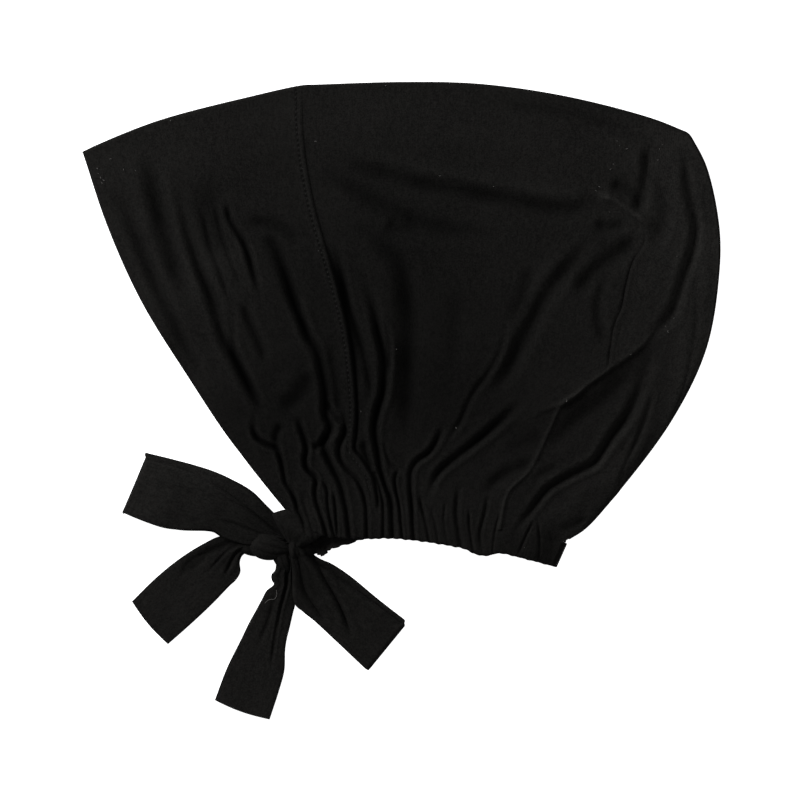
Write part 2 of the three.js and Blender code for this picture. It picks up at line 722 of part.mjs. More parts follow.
const roomForKnot = asSolid(knotGeometry(seamGap));
const endingOnKnot = (geometry, material) => new THREE.Mesh(trimmed(geometry, roomForKnot), material);
const pieces = {
  neck_casing: casingMesh(),
  tie_knot: new THREE.Mesh(knotGeometry(0), hemmed),
  tie_strap_upper: endingOnKnot(strapGeometry(1), hemmed),
  tie_strap_under: endingOnKnot(strapGeometry(-1), hemmed),
  bow_loop_upper: endingOnKnot(loopGeometry(upperLoop, loopWidth), jersey),
  bow_loop_lower: endingOnKnot(loopGeometry(lowerLoop, loopWidth), jersey),
  tie_tail_left: endingOnKnot(tailGeometry(leftTail, tailWidth), jersey),
  tie_tail_bottom: endingOnKnot(tailGeometry(bottomTail, tailWidth), jersey),
};
panels.forEach((panel, index) => {
  pieces[panel.name] = panelMesh(panel, index);
});

const cap = new THREE.Group();
for (const [name, mesh] of Object.entries(pieces)) {
  mesh.name = name;
  cap.add(mesh);
}
const box = new THREE.Box3().setFromObject(cap);
const middle = box.getCenter(new THREE.Vector3());
cap.position.set(-middle.x, -middle.y, -box.min.z);

export default cap;
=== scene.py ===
"""Underscarf cap of black jersey, lying on its side with its ties knotted in a bow at the front corner."""

import math
from collections import namedtuple

import bmesh
import bpy
import numpy as np
from mathutils.bvhtree import BVHTree
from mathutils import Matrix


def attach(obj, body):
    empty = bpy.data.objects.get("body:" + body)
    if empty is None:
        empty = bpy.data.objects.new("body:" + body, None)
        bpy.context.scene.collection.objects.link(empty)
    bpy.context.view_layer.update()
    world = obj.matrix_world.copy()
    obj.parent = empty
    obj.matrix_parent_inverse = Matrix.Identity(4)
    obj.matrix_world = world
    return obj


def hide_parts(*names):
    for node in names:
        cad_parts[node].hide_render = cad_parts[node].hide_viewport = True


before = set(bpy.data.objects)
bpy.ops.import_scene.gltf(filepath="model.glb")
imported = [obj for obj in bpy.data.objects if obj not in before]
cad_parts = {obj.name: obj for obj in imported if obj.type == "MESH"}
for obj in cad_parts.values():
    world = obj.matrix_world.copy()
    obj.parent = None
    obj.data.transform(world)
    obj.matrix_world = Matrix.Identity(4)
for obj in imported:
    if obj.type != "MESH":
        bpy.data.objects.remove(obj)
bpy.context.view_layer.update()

# Sizes in millimetres. Places in the tables are millimetres in the cap's plan: x from the front
# corner of the band towards the back, y from the lowest foot of the casing towards the crown.

MM = 0.001
ZERO = (-159.3, -83.6)  # the tables' zero, in the part's own frame
JERSEY_WALL = 1.0
BAND_WALL = 1.5  # the band is doubled
FOLD_RADIUS = 2.6  # radius of the crown fold, inside its cloth
FOLD_REACH = 1.1  # how far the fold bulges in the plan
CLOTH_TOP = 1.2  # thickness at the crown fold that every panel shares
LOFT = 10.0  # how far the upper layer stands above the crown fold where it is highest
CROWN_EASE = 0.07  # share of the way down in which the upper layer's relief grows to its full depth
CASING_HEIGHT = 12.5
CASING_WALL = 2.0
TIE_WALL = 1.1
FLOOR_GAP = 0.02  # the under layer's outer face is set no lower than this
STRIP_GAP = 0.03  # least gap between a strip's wall and the floor
STITCH_PITCH = 2.53
STITCH_INSET = 3.4  # from the seam's groove to its topstitching
STITCHED_LENGTH = 207.0  # as far down as the topstitching shows, before the gathers hide it
SEAM_DIP = 1.3  # how deep the groove of the front seam is

# Crown fold from the band's front corner to the notch above the casing's tip

CROWN_FOLD = [
    (0.1, 207.5), (7.6, 211.1), (38.2, 223.2), (85.4, 235.5), (110.4, 240.9),
    (117.8, 241.2), (160.5, 242.5), (198.4, 241.6), (241.4, 235.5), (284.3, 224.6),
    (299.2, 218.8), (303.4, 216.8), (306.6, 212.0), (312.8, 199.2), (318.9, 169.5),
    (318.7, 145.2), (312.3, 108.8), (294.7, 72.5), (262.8, 30.6), (251.6, 18.6), (243.9, 13.6),
]
FOLD_ROWS = {"front": (0, 4), "crown": (4, 9), "back": (9, 20)}

# Foot of the casing: x, y, how many degrees the way up leans to the right, share of the casing's height

CASING_FOOT = [
    (103.6, 28.3, -30, 0.56), (111.0, 20.1, -19, 0.85), (121.7, 15.5, -8, 1), (139.5, 14.0, 3, 1),
    (156.1, 14.1, 5, 1), (179.0, 11.5, 7, 1), (192.6, 8.6, 9, 1), (196.0, 6.6, 9, 1), (203.5, 5.7, 10, 1),
    (206.8, 6.8, 11, 1), (210.4, 6.6, 12, 1), (221.4, 3.9, 16, 1), (234.9, 0.3, 24, 1),
]

# How far the under layer's foot lies from the upper one's: share of the way along the casing, x, y

UNDER_SHIFT = [
    (0, 13.1, -18.9), (0.09, 7.6, -13.6), (0.16, 2.2, -7.6), (0.19, 0.8, -5.5), (0.237, 0, -3.3),
    (0.285, 0, -0.8), (0.32, 0, 0), (1, 0, 0),
]

# Lines down the cloth, from the crown fold to the casing

FRONT_EDGE = [
    (0.1, 207.5), (13.4, 169.3), (30.1, 133.3), (52.6, 97.3), (77.1, 61.3), (97.0, 38.4), (101.0, 35.0),
]
FRONT_SEAM = [
    (110.4, 240.9), (111.2, 215.2), (116.6, 181.8), (127.1, 144.8), (133.6, 118.5), (136.6, 97),
    (137.8, 77), (137.2, 66.5), (136.6, 59), (140.6, 53.8), (145.6, 45.5), (147.6, 36.0), (148.4, 26.6),
]
BACK_SEAM = [
    (284.3, 224.6), (283.4, 205.0), (281.2, 185.0), (281.9, 170.3), (280.9, 162.6), (275.2, 153.0),
    (271.3, 139.5), (269.4, 129.9), (265.5, 120.3), (263.6, 108.7), (261.7, 99.1), (252, 89), (240.2, 81.9),
    (232.7, 67), (223.6, 48.7), (212.8, 37.1), (208.6, 19.0),
]
TIP_LINE = [
    (243.9, 13.6), (241.4, 12.0),
]

# Height of the upper layer above the crown fold, as shares of LOFT: place along the casing, then
# near the crown, half way down, low down and at the casing, which are the later stops

LOFT_ROWS = [
    (0, 0.25, 0.6, 0.7, 0.65), (0.35, 0.45, 0.8, 1, 0.85), (0.6, 0.45, 0.85, 1, 0.9),
    (0.79, 0.32, 0.75, 0.95, 0.85), (0.9, 0.12, 0.5, 0.7, 0.65), (1, 0.04, 0.1, 0.2, 0.15),
]
LOFT_STOPS = (0, 0.15, 0.5, 0.8, 1)  # shares of the way down, from the crown fold itself

# Folds of the upper layer. Each is a valley: deep and wide in millimetres, left and right the height of
# its banks as shares of its depth, as seen by one walking along its path, sharp from 0, round, to 1,
# creased, and fades tells which of its ends die out: both, first, last or none.

Fold = namedtuple("Fold", "deep wide left right sharp fades path")

FRONT_FOLDS = [
    Fold(1.5, 4.6, 0.2, 0.3, 0, "both", [(92, 168), (98, 157), (104, 141), (110, 124)]),
    Fold(1.3, 3.4, 0.2, 0.2, 0, "both", [(81, 172), (92, 171), (103, 167), (110, 158)]),
    Fold(1.5, 3.4, 0.3, 0.5, 0, "both", [(16.5, 193.5), (33, 153), (47, 122), (64.5, 85.5)]),
    Fold(1.0, 2.6, 0.3, 0.4, 0.2, "both", [(40, 122), (56, 92), (66, 77)]),
    Fold(1.9, 4.6, 0.5, 0.4, 0, "both", [(33, 206), (36, 190), (40.5, 174), (46.5, 152), (56, 128)]),
    Fold(2.1, 2.9, 0.5, 0.5, 0.2, "both",
         [(48.5, 198), (51, 175.5), (59.2, 149.2), (65.2, 135), (68.6, 124), (71.3, 115), (77.5, 103.1),
          (83.6, 90.8), (89.8, 79.5), (92, 75)]),
    Fold(1.1, 1.9, 0.3, 0.4, 0.5, "both", [(72, 131), (75.6, 118), (77, 106), (83, 94), (89, 82)]),
    Fold(2.0, 1.8, 0.5, 0.5, 0.5, "both", [(73, 184), (74, 175), (82, 160.5), (86, 147.5), (90.5, 133)]),
    Fold(1.4, 2.5, 0.4, 0.3, 0.2, "both", [(80.5, 133), (84.5, 122), (90, 110), (92.5, 100)]),
    Fold(1.2, 8.0, 0, 0, 0, "both", [(62, 196), (66, 172), (72, 150)]),
    Fold(2.3, 2.5, 0.6, 0.5, 0.5, "first",
         [(91, 170), (97, 160), (101, 149), (106.2, 133.4), (110.4, 122.6), (113.7, 114.3), (117.8, 107.6),
          (119.9, 98.5), (122, 86.9), (122.4, 75.3), (124.5, 69.5), (121.1, 61.2), (122.8, 55.4),
          (126.9, 47.1), (129.8, 40.5), (131.9, 31.4), (132.8, 26.4), (134.4, 12)]),
    Fold(1.3, 5.0, 0.2, 0.5, 0, "both", [(114.5, 99), (112, 90.2), (106.2, 82.8), (98, 78.6)]),
    Fold(2.2, 1.9, 0.5, 0.6, 0.3, "both",
         [(87.6, 79), (86.2, 72.5), (86.4, 67.8), (88.2, 64.2), (92.8, 60.8), (98, 58.2), (100, 52.6),
          (101.1, 47.5), (102.1, 42.3), (104.6, 38.2), (106.9, 33.1), (108.2, 28), (111.8, 21.8),
          (115.4, 14)]),
    Fold(1.3, 2.6, 0.3, 0.2, 0, "both", [(101, 71), (98.5, 68), (97.5, 63), (100, 58)]),
    Fold(2.2, 2.0, 0.6, 0.6, 0.3, "first",
         [(103.5, 77), (108.2, 73.6), (109.8, 69), (111.6, 63.9), (112.6, 58.7), (111.8, 53.6), (112.8, 49),
          (117.3, 43.9), (116.8, 39), (117.2, 34.1), (119, 28), (121.1, 21.8), (123.2, 13)]),
    Fold(1.6, 1.5, 0.4, 0.4, 0.3, "first",
         [(120.5, 43), (122.6, 39.2), (123.1, 32), (124.1, 24.9), (127.2, 12)]),
    Fold(1.6, 1.8, 0.4, 0.4, 0.2, "both", [(123.4, 84), (124.6, 78.5), (127.5, 74.3), (131, 71)]),
    Fold(1.5, 1.4, 0.4, 0.4, 0.4, "first", [(126, 38), (126.8, 32), (127.4, 24), (128, 12)]),
    Fold(1.9, 2.2, 0.2, 0.3, 0.2, "both", [(115, 58.6), (119.5, 61.5), (123.4, 67)]),
    Fold(1.3, 3.6, 0.2, 0.2, 0, "both",
         [(124.5, 112), (124.5, 101.8), (126.1, 93.5), (127.8, 83.6), (131.1, 75.3)]),
    Fold(1.9, 2.0, 0.5, 0.5, 0.4, "first",
         [(129.5, 80), (131.4, 74), (131.9, 67.8), (129, 60.4), (129.4, 53.7), (133.6, 47.9), (138.1, 43),
          (141, 36.3), (142.3, 29.7), (142.6, 12)]),
    Fold(0.8, 1.7, 0.4, 0.4, 0.2, "first", [(104.5, 46), (106.5, 36), (109.5, 27), (112, 17)]),
    Fold(0.6, 1.6, 0.4, 0.4, 0.2, "first", [(110.5, 40), (112, 30), (115, 20), (116.5, 13)]),
    Fold(0.8, 1.5, 0.3, 0.3, 0.4, "both", [(59, 184), (64, 163), (70, 146), (75, 131)]),
    Fold(0.7, 1.4, 0.3, 0.3, 0.4, "both", [(66, 188), (69.5, 168), (76, 150), (82, 137)]),
]

CROWN_FOLDS = [
    Fold(1.2, 2.6, 0.2, 0.4, 0.1, "both",
         [(124, 164), (127.5, 150), (131.5, 134), (135, 118), (138, 103), (140, 88)]),
    Fold(1.0, 6.0, 0.2, 0.2, 0, "both", [(152, 172), (160, 169), (170, 172)]),
    Fold(1.6, 2.0, 0.4, 0.4, 0.6, "both",
         [(127, 162), (129.5, 150), (132.8, 133.4), (136.1, 122.6), (139.4, 111.8), (141.9, 102.7),
          (144.4, 90.2), (145.2, 80)]),
    Fold(2.3, 2.4, 0.5, 0.6, 0.4, "first",
         [(138, 151), (143, 138), (146, 128.4), (148.5, 116.8), (151, 106), (151.4, 96.9), (150.6, 86.9),
          (147.7, 77), (146.4, 68.7), (147.7, 58.7), (149.3, 48.8), (151.8, 40.5), (154.3, 33.8),
          (155.1, 25.6), (155.6, 12)]),
    Fold(1.2, 1.6, 0.3, 0.3, 0.4, "both", [(150.5, 126), (153.5, 113.5), (153.9, 104.3), (153.2, 94)]),
    Fold(1.5, 2.6, 0.3, 0.3, 0.1, "both", [(140.5, 64), (142.6, 56), (146.6, 47)]),
    Fold(1.5, 1.6, 0.5, 0.4, 0.4, "none", [(146.5, 47), (149.5, 38), (150.8, 31.3), (150.6, 12)]),
    Fold(1.7, 5.6, 0.2, 0.5, 0, "both",
         [(140, 174), (150.5, 160.4), (158.5, 152), (162.6, 133.4), (163, 108.5), (162.6, 86.9),
          (162.2, 75.3), (162.6, 60)]),
    Fold(0.9, 1.6, 0.4, 0.3, 0.3, "both", [(150.5, 64), (152, 57), (155, 51), (160, 47.5)]),
    Fold(1.5, 1.5, 0.5, 0.5, 0.4, "first",
         [(159.8, 50), (156.8, 45.5), (156.8, 39.6), (158.5, 31.4), (160.6, 12)]),
    Fold(2.0, 2.2, 0.6, 0.5, 0.4, "first",
         [(180.5, 72), (178.9, 66.1), (173.4, 57.1), (167.6, 52.9), (164.7, 47.9), (164.3, 40.5),
          (165.1, 29.7), (166.2, 10)]),
    Fold(1.2, 1.6, 0.4, 0.4, 0.2, "first", [(168.5, 36), (169.9, 30), (171.9, 22), (174.5, 9)]),
    Fold(0.8, 1.5, 0.4, 0.4, 0.2, "first", [(174, 30), (176.5, 22), (179, 8)]),
    Fold(2.0, 2.8, 0.6, 0.4, 0.2, "both",
         [(222, 84), (213.7, 76.9), (206.2, 70.3), (200.4, 65.3), (192.1, 58.7), (184.7, 52.9),
          (178.9, 47.9), (175.5, 42.1), (173, 33)]),
    Fold(1.0, 1.8, 0.4, 0.3, 0.3, "both",
         [(213, 124), (210.4, 111.7), (206.2, 101.8), (202.1, 95.2), (196.3, 87.7), (192.1, 79.4),
          (189.6, 73.6), (185.5, 67), (182, 60)]),
    Fold(1.7, 4.0, 0.3, 0.6, 0, "both",
         [(251, 167), (250.5, 158.5), (241, 147), (234.5, 138.5), (228, 128), (224.5, 120.9),
          (220.3, 112.6), (216.2, 104.3), (212, 96.8), (207, 90.2), (201, 84)]),
    Fold(1.3, 5.0, 0.2, 0.4, 0, "both",
         [(226, 56), (221.1, 50.4), (213.7, 47.1), (206.2, 42.1), (200, 34)]),
    Fold(0.9, 6.5, 0, 0, 0, "both", [(232, 66), (222, 62), (214, 56)]),
    Fold(1.3, 2.4, 0.4, 0.4, 0.1, "first",
         [(188.5, 42), (187.6, 33.8), (187.1, 26.3), (188.4, 17), (190.4, 5)]),
    Fold(1.0, 1.6, 0.4, 0.4, 0.2, "first", [(193.4, 30), (193.8, 20), (196.4, 3)]),
    Fold(1.1, 2.0, 0.4, 0.4, 0.1, "both", [(203, 37), (201.4, 27), (199, 17), (200.5, 5)]),
    Fold(0.7, 1.4, 0.3, 0.3, 0.2, "both", [(182, 34), (181, 24), (183.5, 8)]),
    Fold(0.7, 1.2, 0.4, 0.4, 0.3, "first", [(209.5, 29), (206.5, 18), (204.8, 3)]),
    Fold(1.4, 5.0, 0.1, 0.2, 0, "both",
         [(116, 199), (133, 190), (148, 181.4), (163.4, 175), (181, 168.5), (220, 164)]),
    Fold(1.9, 4.4, 0.6, 0.1, 0.2, "both",
         [(122, 206), (136, 200), (150, 196), (163.4, 192.2), (180, 188.5), (193.5, 186.4),
          (219.5, 181.8), (235, 178.6), (246, 178.2), (254, 180.6), (260, 186)]),
    Fold(1.3, 3.2, 0.3, 0.2, 0, "both", [(256, 172), (264, 169), (274, 171)]),
    Fold(-2.2, 2.4, 0, 0, 0, "both", [(257, 184), (264, 184), (271, 179.5), (279, 174), (289, 168)]),
    Fold(1.3, 2.8, 0.4, 0.4, 0.2, "first", [(283, 213), (281.5, 193), (278.5, 180)]),
    Fold(1.8, 3.4, 0, 0.1, 0.1, "both", [(263, 191.5), (270, 189), (276, 185.5), (282, 178)]),
    Fold(1.8, 4.6, 0.1, 0.2, 0, "both", [(281, 166), (269.5, 157), (253.5, 145), (246, 134)]),
    Fold(0.9, 4.0, 0, 0.3, 0, "both", [(203, 232), (222, 230), (245, 226), (269, 219), (289, 211)]),
    Fold(1.1, 3.0, 0.2, 0.2, 0, "both", [(262, 148), (258, 128), (262, 108)]),
    Fold(0.9, 4.0, 0.2, 0.2, 0, "both", [(224, 152), (222, 136), (214, 120)]),
    Fold(0.5, 5.0, 0.2, 0.2, 0, "both", [(188, 142), (187, 118), (184, 96)]),
]

BACK_FOLDS = [
    Fold(1.7, 2.8, 0.2, 0.4, 0.2, "both",
         [(301, 211), (302.5, 193), (307, 167), (301, 145.5), (293.5, 125), (277, 110)]),
    Fold(0.6, 4.0, 0.2, 0.2, 0, "both", [(290, 214), (286, 200), (288, 188)]),
    Fold(0.8, 4.0, 0.3, 0.2, 0, "both", [(284, 196), (292, 184), (290, 168), (282, 158)]),
    Fold(1.3, 5.6, 0, 0.1, 0, "both",
         [(284, 105), (269, 91), (259, 82), (248, 74), (238, 64), (231, 54)]),
    Fold(2.2, 3.2, 0.5, 0.4, 0.2, "both",
         [(288, 118), (282, 98), (273.4, 76.9), (265.1, 65.3), (260.9, 58.7), (256, 52), (248.5, 47.9),
          (240.2, 43.7), (232.7, 38.8), (227.8, 33), (223.6, 27.2), (218.7, 21), (213, 9)]),
    Fold(0.7, 1.8, 0.3, 0.5, 0.4, "both", [(286, 90), (280, 70), (272, 52), (266, 38)]),
    Fold(0.8, 3.4, 0.3, 0.2, 0, "both", [(239, 50), (231, 47), (225, 43)]),
    Fold(1.4, 3.6, 0.3, 0.1, 0.1, "both", [(238, 19), (245, 21), (253, 25)]),
    Fold(0.9, 1.4, 0.4, 0.4, 0.3, "both", [(225.5, 23), (222, 16), (217, 4)]),
    Fold(1.0, 1.7, 0.4, 0.4, 0.2, "both", [(227.8, 24), (228.6, 13), (227.5, 0)]),
    Fold(0.6, 1.6, 0.3, 0.3, 0.1, "both", [(233.5, 20), (235, 10), (234, 2)]),
]
FOLDS = FRONT_FOLDS + CROWN_FOLDS + BACK_FOLDS

# The long slanting fold where the cloth laps over itself: path of its edge, from the back to the middle,
# with the lap's height falling to nothing at its end

LAP_EDGE = [(289, 122), (279, 110), (263.5, 98.5), (252, 90.5), (242, 82.5), (228.5, 77), (216, 71)]
LAP_HEIGHT = 1.7
LAP_EASE = 11.0  # how far above the edge the lap has sunk away
LAP_LIP = 1.1  # how sharply it drops at the edge
LAP_SHADOW = 10.0  # how far below the edge the painted shadow reaches
LAP_REACH = 40.0  # nothing of the lap's height is left so far from its edge
# how dark the painted shadow below the edge is
LAP_SHADOW_DARK = 0.38
LAP_HIGHLIGHT = 0.4  # how much highlight is painted on the edge itself

# Broad places of painted light and painted shade on the jersey: middle, half widths, amount

LIGHT_AND_SHADE_PLACES = [
    (150, 88, 45, 50, -0.36), (165, 150, 65, 45, -0.34), (205, 75, 45, 40, -0.34),
    (316, 150, 22, 75, 0.9), (285, 215, 26, 32, 0.2), (90, 74, 36, 36, -0.4), (105, 150, 32, 60, -0.17),
    (160, 215, 60, 22, -0.1), (75, 205, 42, 35, -0.15), (302, 88, 20, 28, 0.5), (266, 40, 26, 28, 0.35),
    (278, 170, 26, 50, 0.2), (247, 20, 12, 12, 0.5),
]
# Broad places of painted light and painted shade on the bow, with the same columns
BOW_LIGHT_AND_SHADE_PLACES = [
    (26, 55, 30, 12, 0.2), (18, 28, 14, 10, 0.3), (64, 48, 14, 10, 0.35), (50, 20, 18, 10, -0.2),
    (148, -3, 18, 12, 0.25), (45, -15, 22, 20, -0.1), (84, -16, 12, 14, 0.35),
]

# Bow. Each strip runs from the knot outwards between its two edges, and a loop's upper run between its
# left edge and its crease

UPPER_LOOP_LEFT = [
    (101, 13), (84, 10.9), (72, 14.2), (65.5, 18.0), (49, 18.4), (41.3, 19.3), (31.0, 22.6), (20.0, 27.1),
]
UPPER_LOOP_RIGHT = [
    (103, 17), (97, 24.5), (90.9, 30.8), (84.9, 36.8), (75.1, 42.7), (60.5, 49.4), (46.6, 53.4),
    (31.9, 57.0),
]
UPPER_LOOP_CREASE = [
    (102, 15), (91, 23.0), (79, 32.5), (66, 41), (52, 47.8), (32.6, 53.5),
]
LOWER_LOOP_LEFT = [
    (104, 12), (106, 0), (107.2, -17.9), (110.8, -21.5), (116.4, -26), (124, -33), (142.8, -50.9),
]
LOWER_LOOP_RIGHT = [
    (108, 13), (118, 4.6), (125, 1.4), (134, -4.6), (148.5, -16.6), (162.2, -27.2),
]
LOWER_LOOP_CREASE = [
    (107, 12), (119.9, -1), (125, -3.6), (130.1, -7.6), (137.8, -13.3), (145, -18.5), (160.0, -29.8),
]
LEFT_TAIL_LEFT = [
    (84, 7.5), (80.5, 5.8), (79.0, 2.5), (79.2, -2.8), (76.9, -6.8), (74.2, -9.3), (65, -18.8),
    (54.7, -28.5), (42.9, -38.9),
]
LEFT_TAIL_RIGHT = [
    (84, 14), (76, 15), (69.0, 15.2), (60.9, 11.6), (48.6, 3.9), (36.7, -5.8), (24.8, -17.5),
]
BOTTOM_TAIL_LEFT = [
    (106, 9), (107, 0), (107.5, -9), (106.9, -17.9), (105.6, -23), (103.8, -30.8), (102.3, -36.9),
    (101.6, -42.0), (101.2, -52.0), (98.3, -62.9), (93.8, -76.6),
]
BOTTOM_TAIL_RIGHT = [
    (97, 8), (96.6, -1.6), (94.7, -4.1), (94.9, -6.9), (95.9, -8.8), (92.3, -12.0), (90, -16.2),
    (86.6, -22.5), (83.5, -28.1), (79.2, -37.0), (72.3, -51.0), (66.3, -66.9),
]

# Small helpers


def eased(x):
    """Smooth step from 0 to 1."""
    x = np.clip(x, 0, 1)
    return x * x * (3 - 2 * x)


def mix(low, high, share):
    """Between low and high by a share from 0 to 1."""
    return low + (high - low) * share


def smooth_line(rows, per_span=14):
    """A smooth curve through rows of numbers, spaced by their first two columns, as closely set points."""
    rows = np.array(rows, float)
    rows = np.vstack([2 * rows[0] - rows[1], rows, 2 * rows[-1] - rows[-2]])
    gaps = np.linalg.norm(np.diff(rows[:, :2], axis=0), axis=1) ** 0.5
    speed = np.diff(rows, axis=0) / gaps[:, None]
    both = (gaps[:-1] + gaps[1:])[:, None]
    slope = speed[:-1] + speed[1:] - (rows[2:] - rows[:-2]) / both
    rows = rows[1:-1]
    points = []
    for span in range(len(rows) - 1):
        t = np.linspace(0, 1, per_span, endpoint=False)[:, None]
        reach = gaps[span + 1]
        points.append(
            (2 * t**3 - 3 * t**2 + 1) * rows[span] + (t**3 - 2 * t**2 + t) * reach * slope[span]
            + (3 * t**2 - 2 * t**3) * rows[span + 1] + (t**3 - t**2) * reach * slope[span + 1]
        )
    return np.vstack(points + [rows[-1:]])


class Line:
    """A smooth curve in the plan, read by the share of its length."""

    def __init__(self, rows, between=None):
        per_span = 14
        points = smooth_line(rows, per_span)
        if between:
            points = points[between[0] * per_span : between[1] * per_span + 1]
        self.points = points
        steps = np.linalg.norm(np.diff(points[:, :2], axis=0), axis=1)
        self.length = steps.sum()
        self.shares = np.concatenate([[0], np.cumsum(steps)]) / self.length
        self.ways = np.gradient(points[:, :2], axis=0)
        self.ways /= np.linalg.norm(self.ways, axis=1)[:, None]

    def read(self, share, columns):
        """Columns of numbers along the curve, at shares of its length."""
        return np.column_stack([np.interp(share, self.shares, column) for column in columns.T])

    def at(self, share):
        """Points of the curve, with the further columns of its rows."""
        return self.read(share, self.points)

    def way(self, share):
        """Directions of the curve, of length one."""
        way = self.read(share, self.ways)
        return way / np.linalg.norm(way, axis=1)[:, None]

    def bulge(self, share):
        """How far the curve stands from its own chord."""
        return self.at(share) - mix(self.points[0], self.points[-1], share[:, None])

    def share_of_length(self, share_of_steps):
        """Share of the length at a share of the steps, which is what beside gives."""
        return np.interp(share_of_steps, np.linspace(0, 1, len(self.shares)), self.shares)


def beside(points, plan):
    """Distance to the left of a line, negative to its right, and the share of the way along it."""
    start = points[:-1, :2]
    step = np.diff(points[:, :2], axis=0)
    offset = plan[:, None, :] - start
    share = np.clip((offset * step).sum(2) / (step**2).sum(1), 0, 1)
    gap = offset - share[:, :, None] * step
    far = np.hypot(gap[..., 0], gap[..., 1])
    pick = far.argmin(1)
    rows = np.arange(len(plan))
    gap = gap[rows, pick]
    step = step[pick]
    side = np.where(step[:, 0] * gap[:, 1] - step[:, 1] * gap[:, 0] < 0, -1.0, 1.0)
    return side * far[rows, pick], (pick + share[rows, pick]) / len(start)


def wander(x, y, seed, waves=6):
    """Soft unevenness between -1 and 1, as a sum of slanting waves about one unit long."""
    rng = np.random.default_rng(seed)
    total = np.zeros(np.broadcast(x, y).shape)
    for _ in range(waves):
        turn = rng.uniform(0, 2 * math.pi)
        pace = rng.uniform(3.5, 8.5)
        total += np.sin(pace * (x * math.cos(turn) + y * math.sin(turn)) + rng.uniform(0, 2 * math.pi))
    return total / math.sqrt(waves) / 1.6


def in_metres(place):
    """Places in the plan and heights, in millimetres, as metres in the part's frame."""
    return (np.asarray(place, float) + (*ZERO, 0)) * MM


# Relief of the upper layer

RELIEF = 1.15  # all folds deeper by this
LOOSE_WIDTH = 0.85  # width of a fold high up, as a share of what the tables say
GATHERED_WIDTH = 0.48  # and at the casing, where the folds draw together
GATHERED_DEPTH = 0.65  # depth of a fold at the casing, as a share of its depth higher up
WIDTH_CHANGES = (15, 95)  # height in the plan from which the folds widen, and over how much of it
DEPTH_CHANGES = (10, 75)  # and the same for their depth
CREASE_SHARPNESS = 1.7  # how fast a creased fold rises from its bottom
BANK_AWAY = 1.9  # how far a fold's banks lie from its bottom, in its widths
BANK_HEIGHT = 0.8  # how high they stand, against what the tables say
BANK_HIGHLIGHT = 0.18  # how much highlight is painted on the banks
SKIRT_WIDTH = 2.3  # how far the cloth beside a fold leans in, in its widths
SKIRT_DEPTH = 0.3  # and how deep, as a share of the fold's depth
SKIRT_SHADE = 0.085  # and how much shade is painted on it
HOLLOW_SHADE = 0.17  # how much shade is painted at the bottom of a fold one millimetre deep
FADE_SHARE = 0.25  # share of a fold's path in which an end dies out
PALEST_PAINTED_LIGHT = 0.45  # the most light that the folds and the lap paint on the cloth

# The cloth's own unevenness: height, length of its waves across and up, and seed

UNEVENNESS = [(0.35, 60, 60, 3), (0.1, 16, 24, 5)]

FOLD_LINES = [(fold, smooth_line(fold.path, 6)) for fold in FOLDS]
LAP_LINE = smooth_line(LAP_EDGE, 8)


def fold_marks(fold, line, plan):
    """Height and painted light and shade that one fold adds at each place of the plan: painted shade in its
    hollow and on its skirt, painted highlight on its banks.
    """
    height = np.zeros(len(plan))
    wear = np.zeros(len(plan))
    reach = 4 * fold.wide
    low = line.min(0) - reach
    high = line.max(0) + reach
    near = np.all((plan > low) & (plan < high), axis=1)
    if not near.any():
        return height, wear
    aside, along = beside(line, plan[near])
    x, y = plan[near].T
    loose = eased((y - WIDTH_CHANGES[0]) / WIDTH_CHANGES[1])
    a = aside / (fold.wide * mix(GATHERED_WIDTH, LOOSE_WIDTH, loose))
    round_valley = np.exp(-(a**2))
    creased = np.exp(-CREASE_SHARPNESS * np.abs(a))
    skirt = np.exp(-((a / SKIRT_WIDTH) ** 2))
    valley = mix(round_valley, creased, fold.sharp) + SKIRT_DEPTH * skirt
    banks = fold.left * np.exp(-((a - BANK_AWAY) ** 2)) + fold.right * np.exp(-((a + BANK_AWAY) ** 2))
    fade = mix(GATHERED_DEPTH, 1, eased((y - DEPTH_CHANGES[0]) / DEPTH_CHANGES[1]))
    fade *= 1 + 0.2 * wander(x / 24, y / 24, 23)
    if fold.fades in ("both", "first"):
        fade *= eased(along / FADE_SHARE)
    if fold.fades in ("both", "last"):
        fade *= eased((1 - along) / FADE_SHARE)
    height[near] = RELIEF * fold.deep * fade * (banks * BANK_HEIGHT - valley)
    # painted shade in the hollow and on the skirt, painted highlight on the banks
    dark = HOLLOW_SHADE * np.exp(-1.6 * a**2) + SKIRT_SHADE * skirt
    wear[near] = fold.deep * fade * (banks * BANK_HIGHLIGHT - dark)
    return height, wear


def lap_marks(plan):
    """The step where the cloth laps over itself: high above its edge and dropping below it, with a painted
    highlight on the edge and a painted shadow below it.
    """
    aside, along = beside(LAP_LINE, plan)
    over = -aside
    fade = eased(along / 0.2) * eased((1 - along) / 0.45)
    top = np.exp(-np.clip(over, 0, None) / LAP_EASE)
    drop = eased((over + LAP_LIP) / LAP_LIP)
    near = eased((1 - np.abs(aside) / LAP_REACH) * 2)
    below = np.clip(-over, 0, None)
    shadow = eased(below / LAP_LIP) * np.exp(-((below / LAP_SHADOW) ** 2))
    edge = np.exp(-(((over - 0.6) / 1.3) ** 2))
    return LAP_HEIGHT * fade * top * drop * near, fade * (LAP_HIGHLIGHT * edge - LAP_SHADOW_DARK * shadow)


def marks_of(folds, plan):
    """Height and painted light and shade of several folds together."""
    height = np.zeros(len(plan))
    wear = np.zeros(len(plan))
    for fold, line in folds:
        deeper, painted = fold_marks(fold, line, plan)
        height += deeper
        wear += painted
    return height, wear


def place_shading(places, plan):
    """Painted light and shade of the broad pale and dark places of a table."""
    x, y = plan.T
    return sum(amount * np.exp(-(((x - px) / wide) ** 2) - ((y - py) / tall) ** 2)
               for px, py, wide, tall, amount in places)


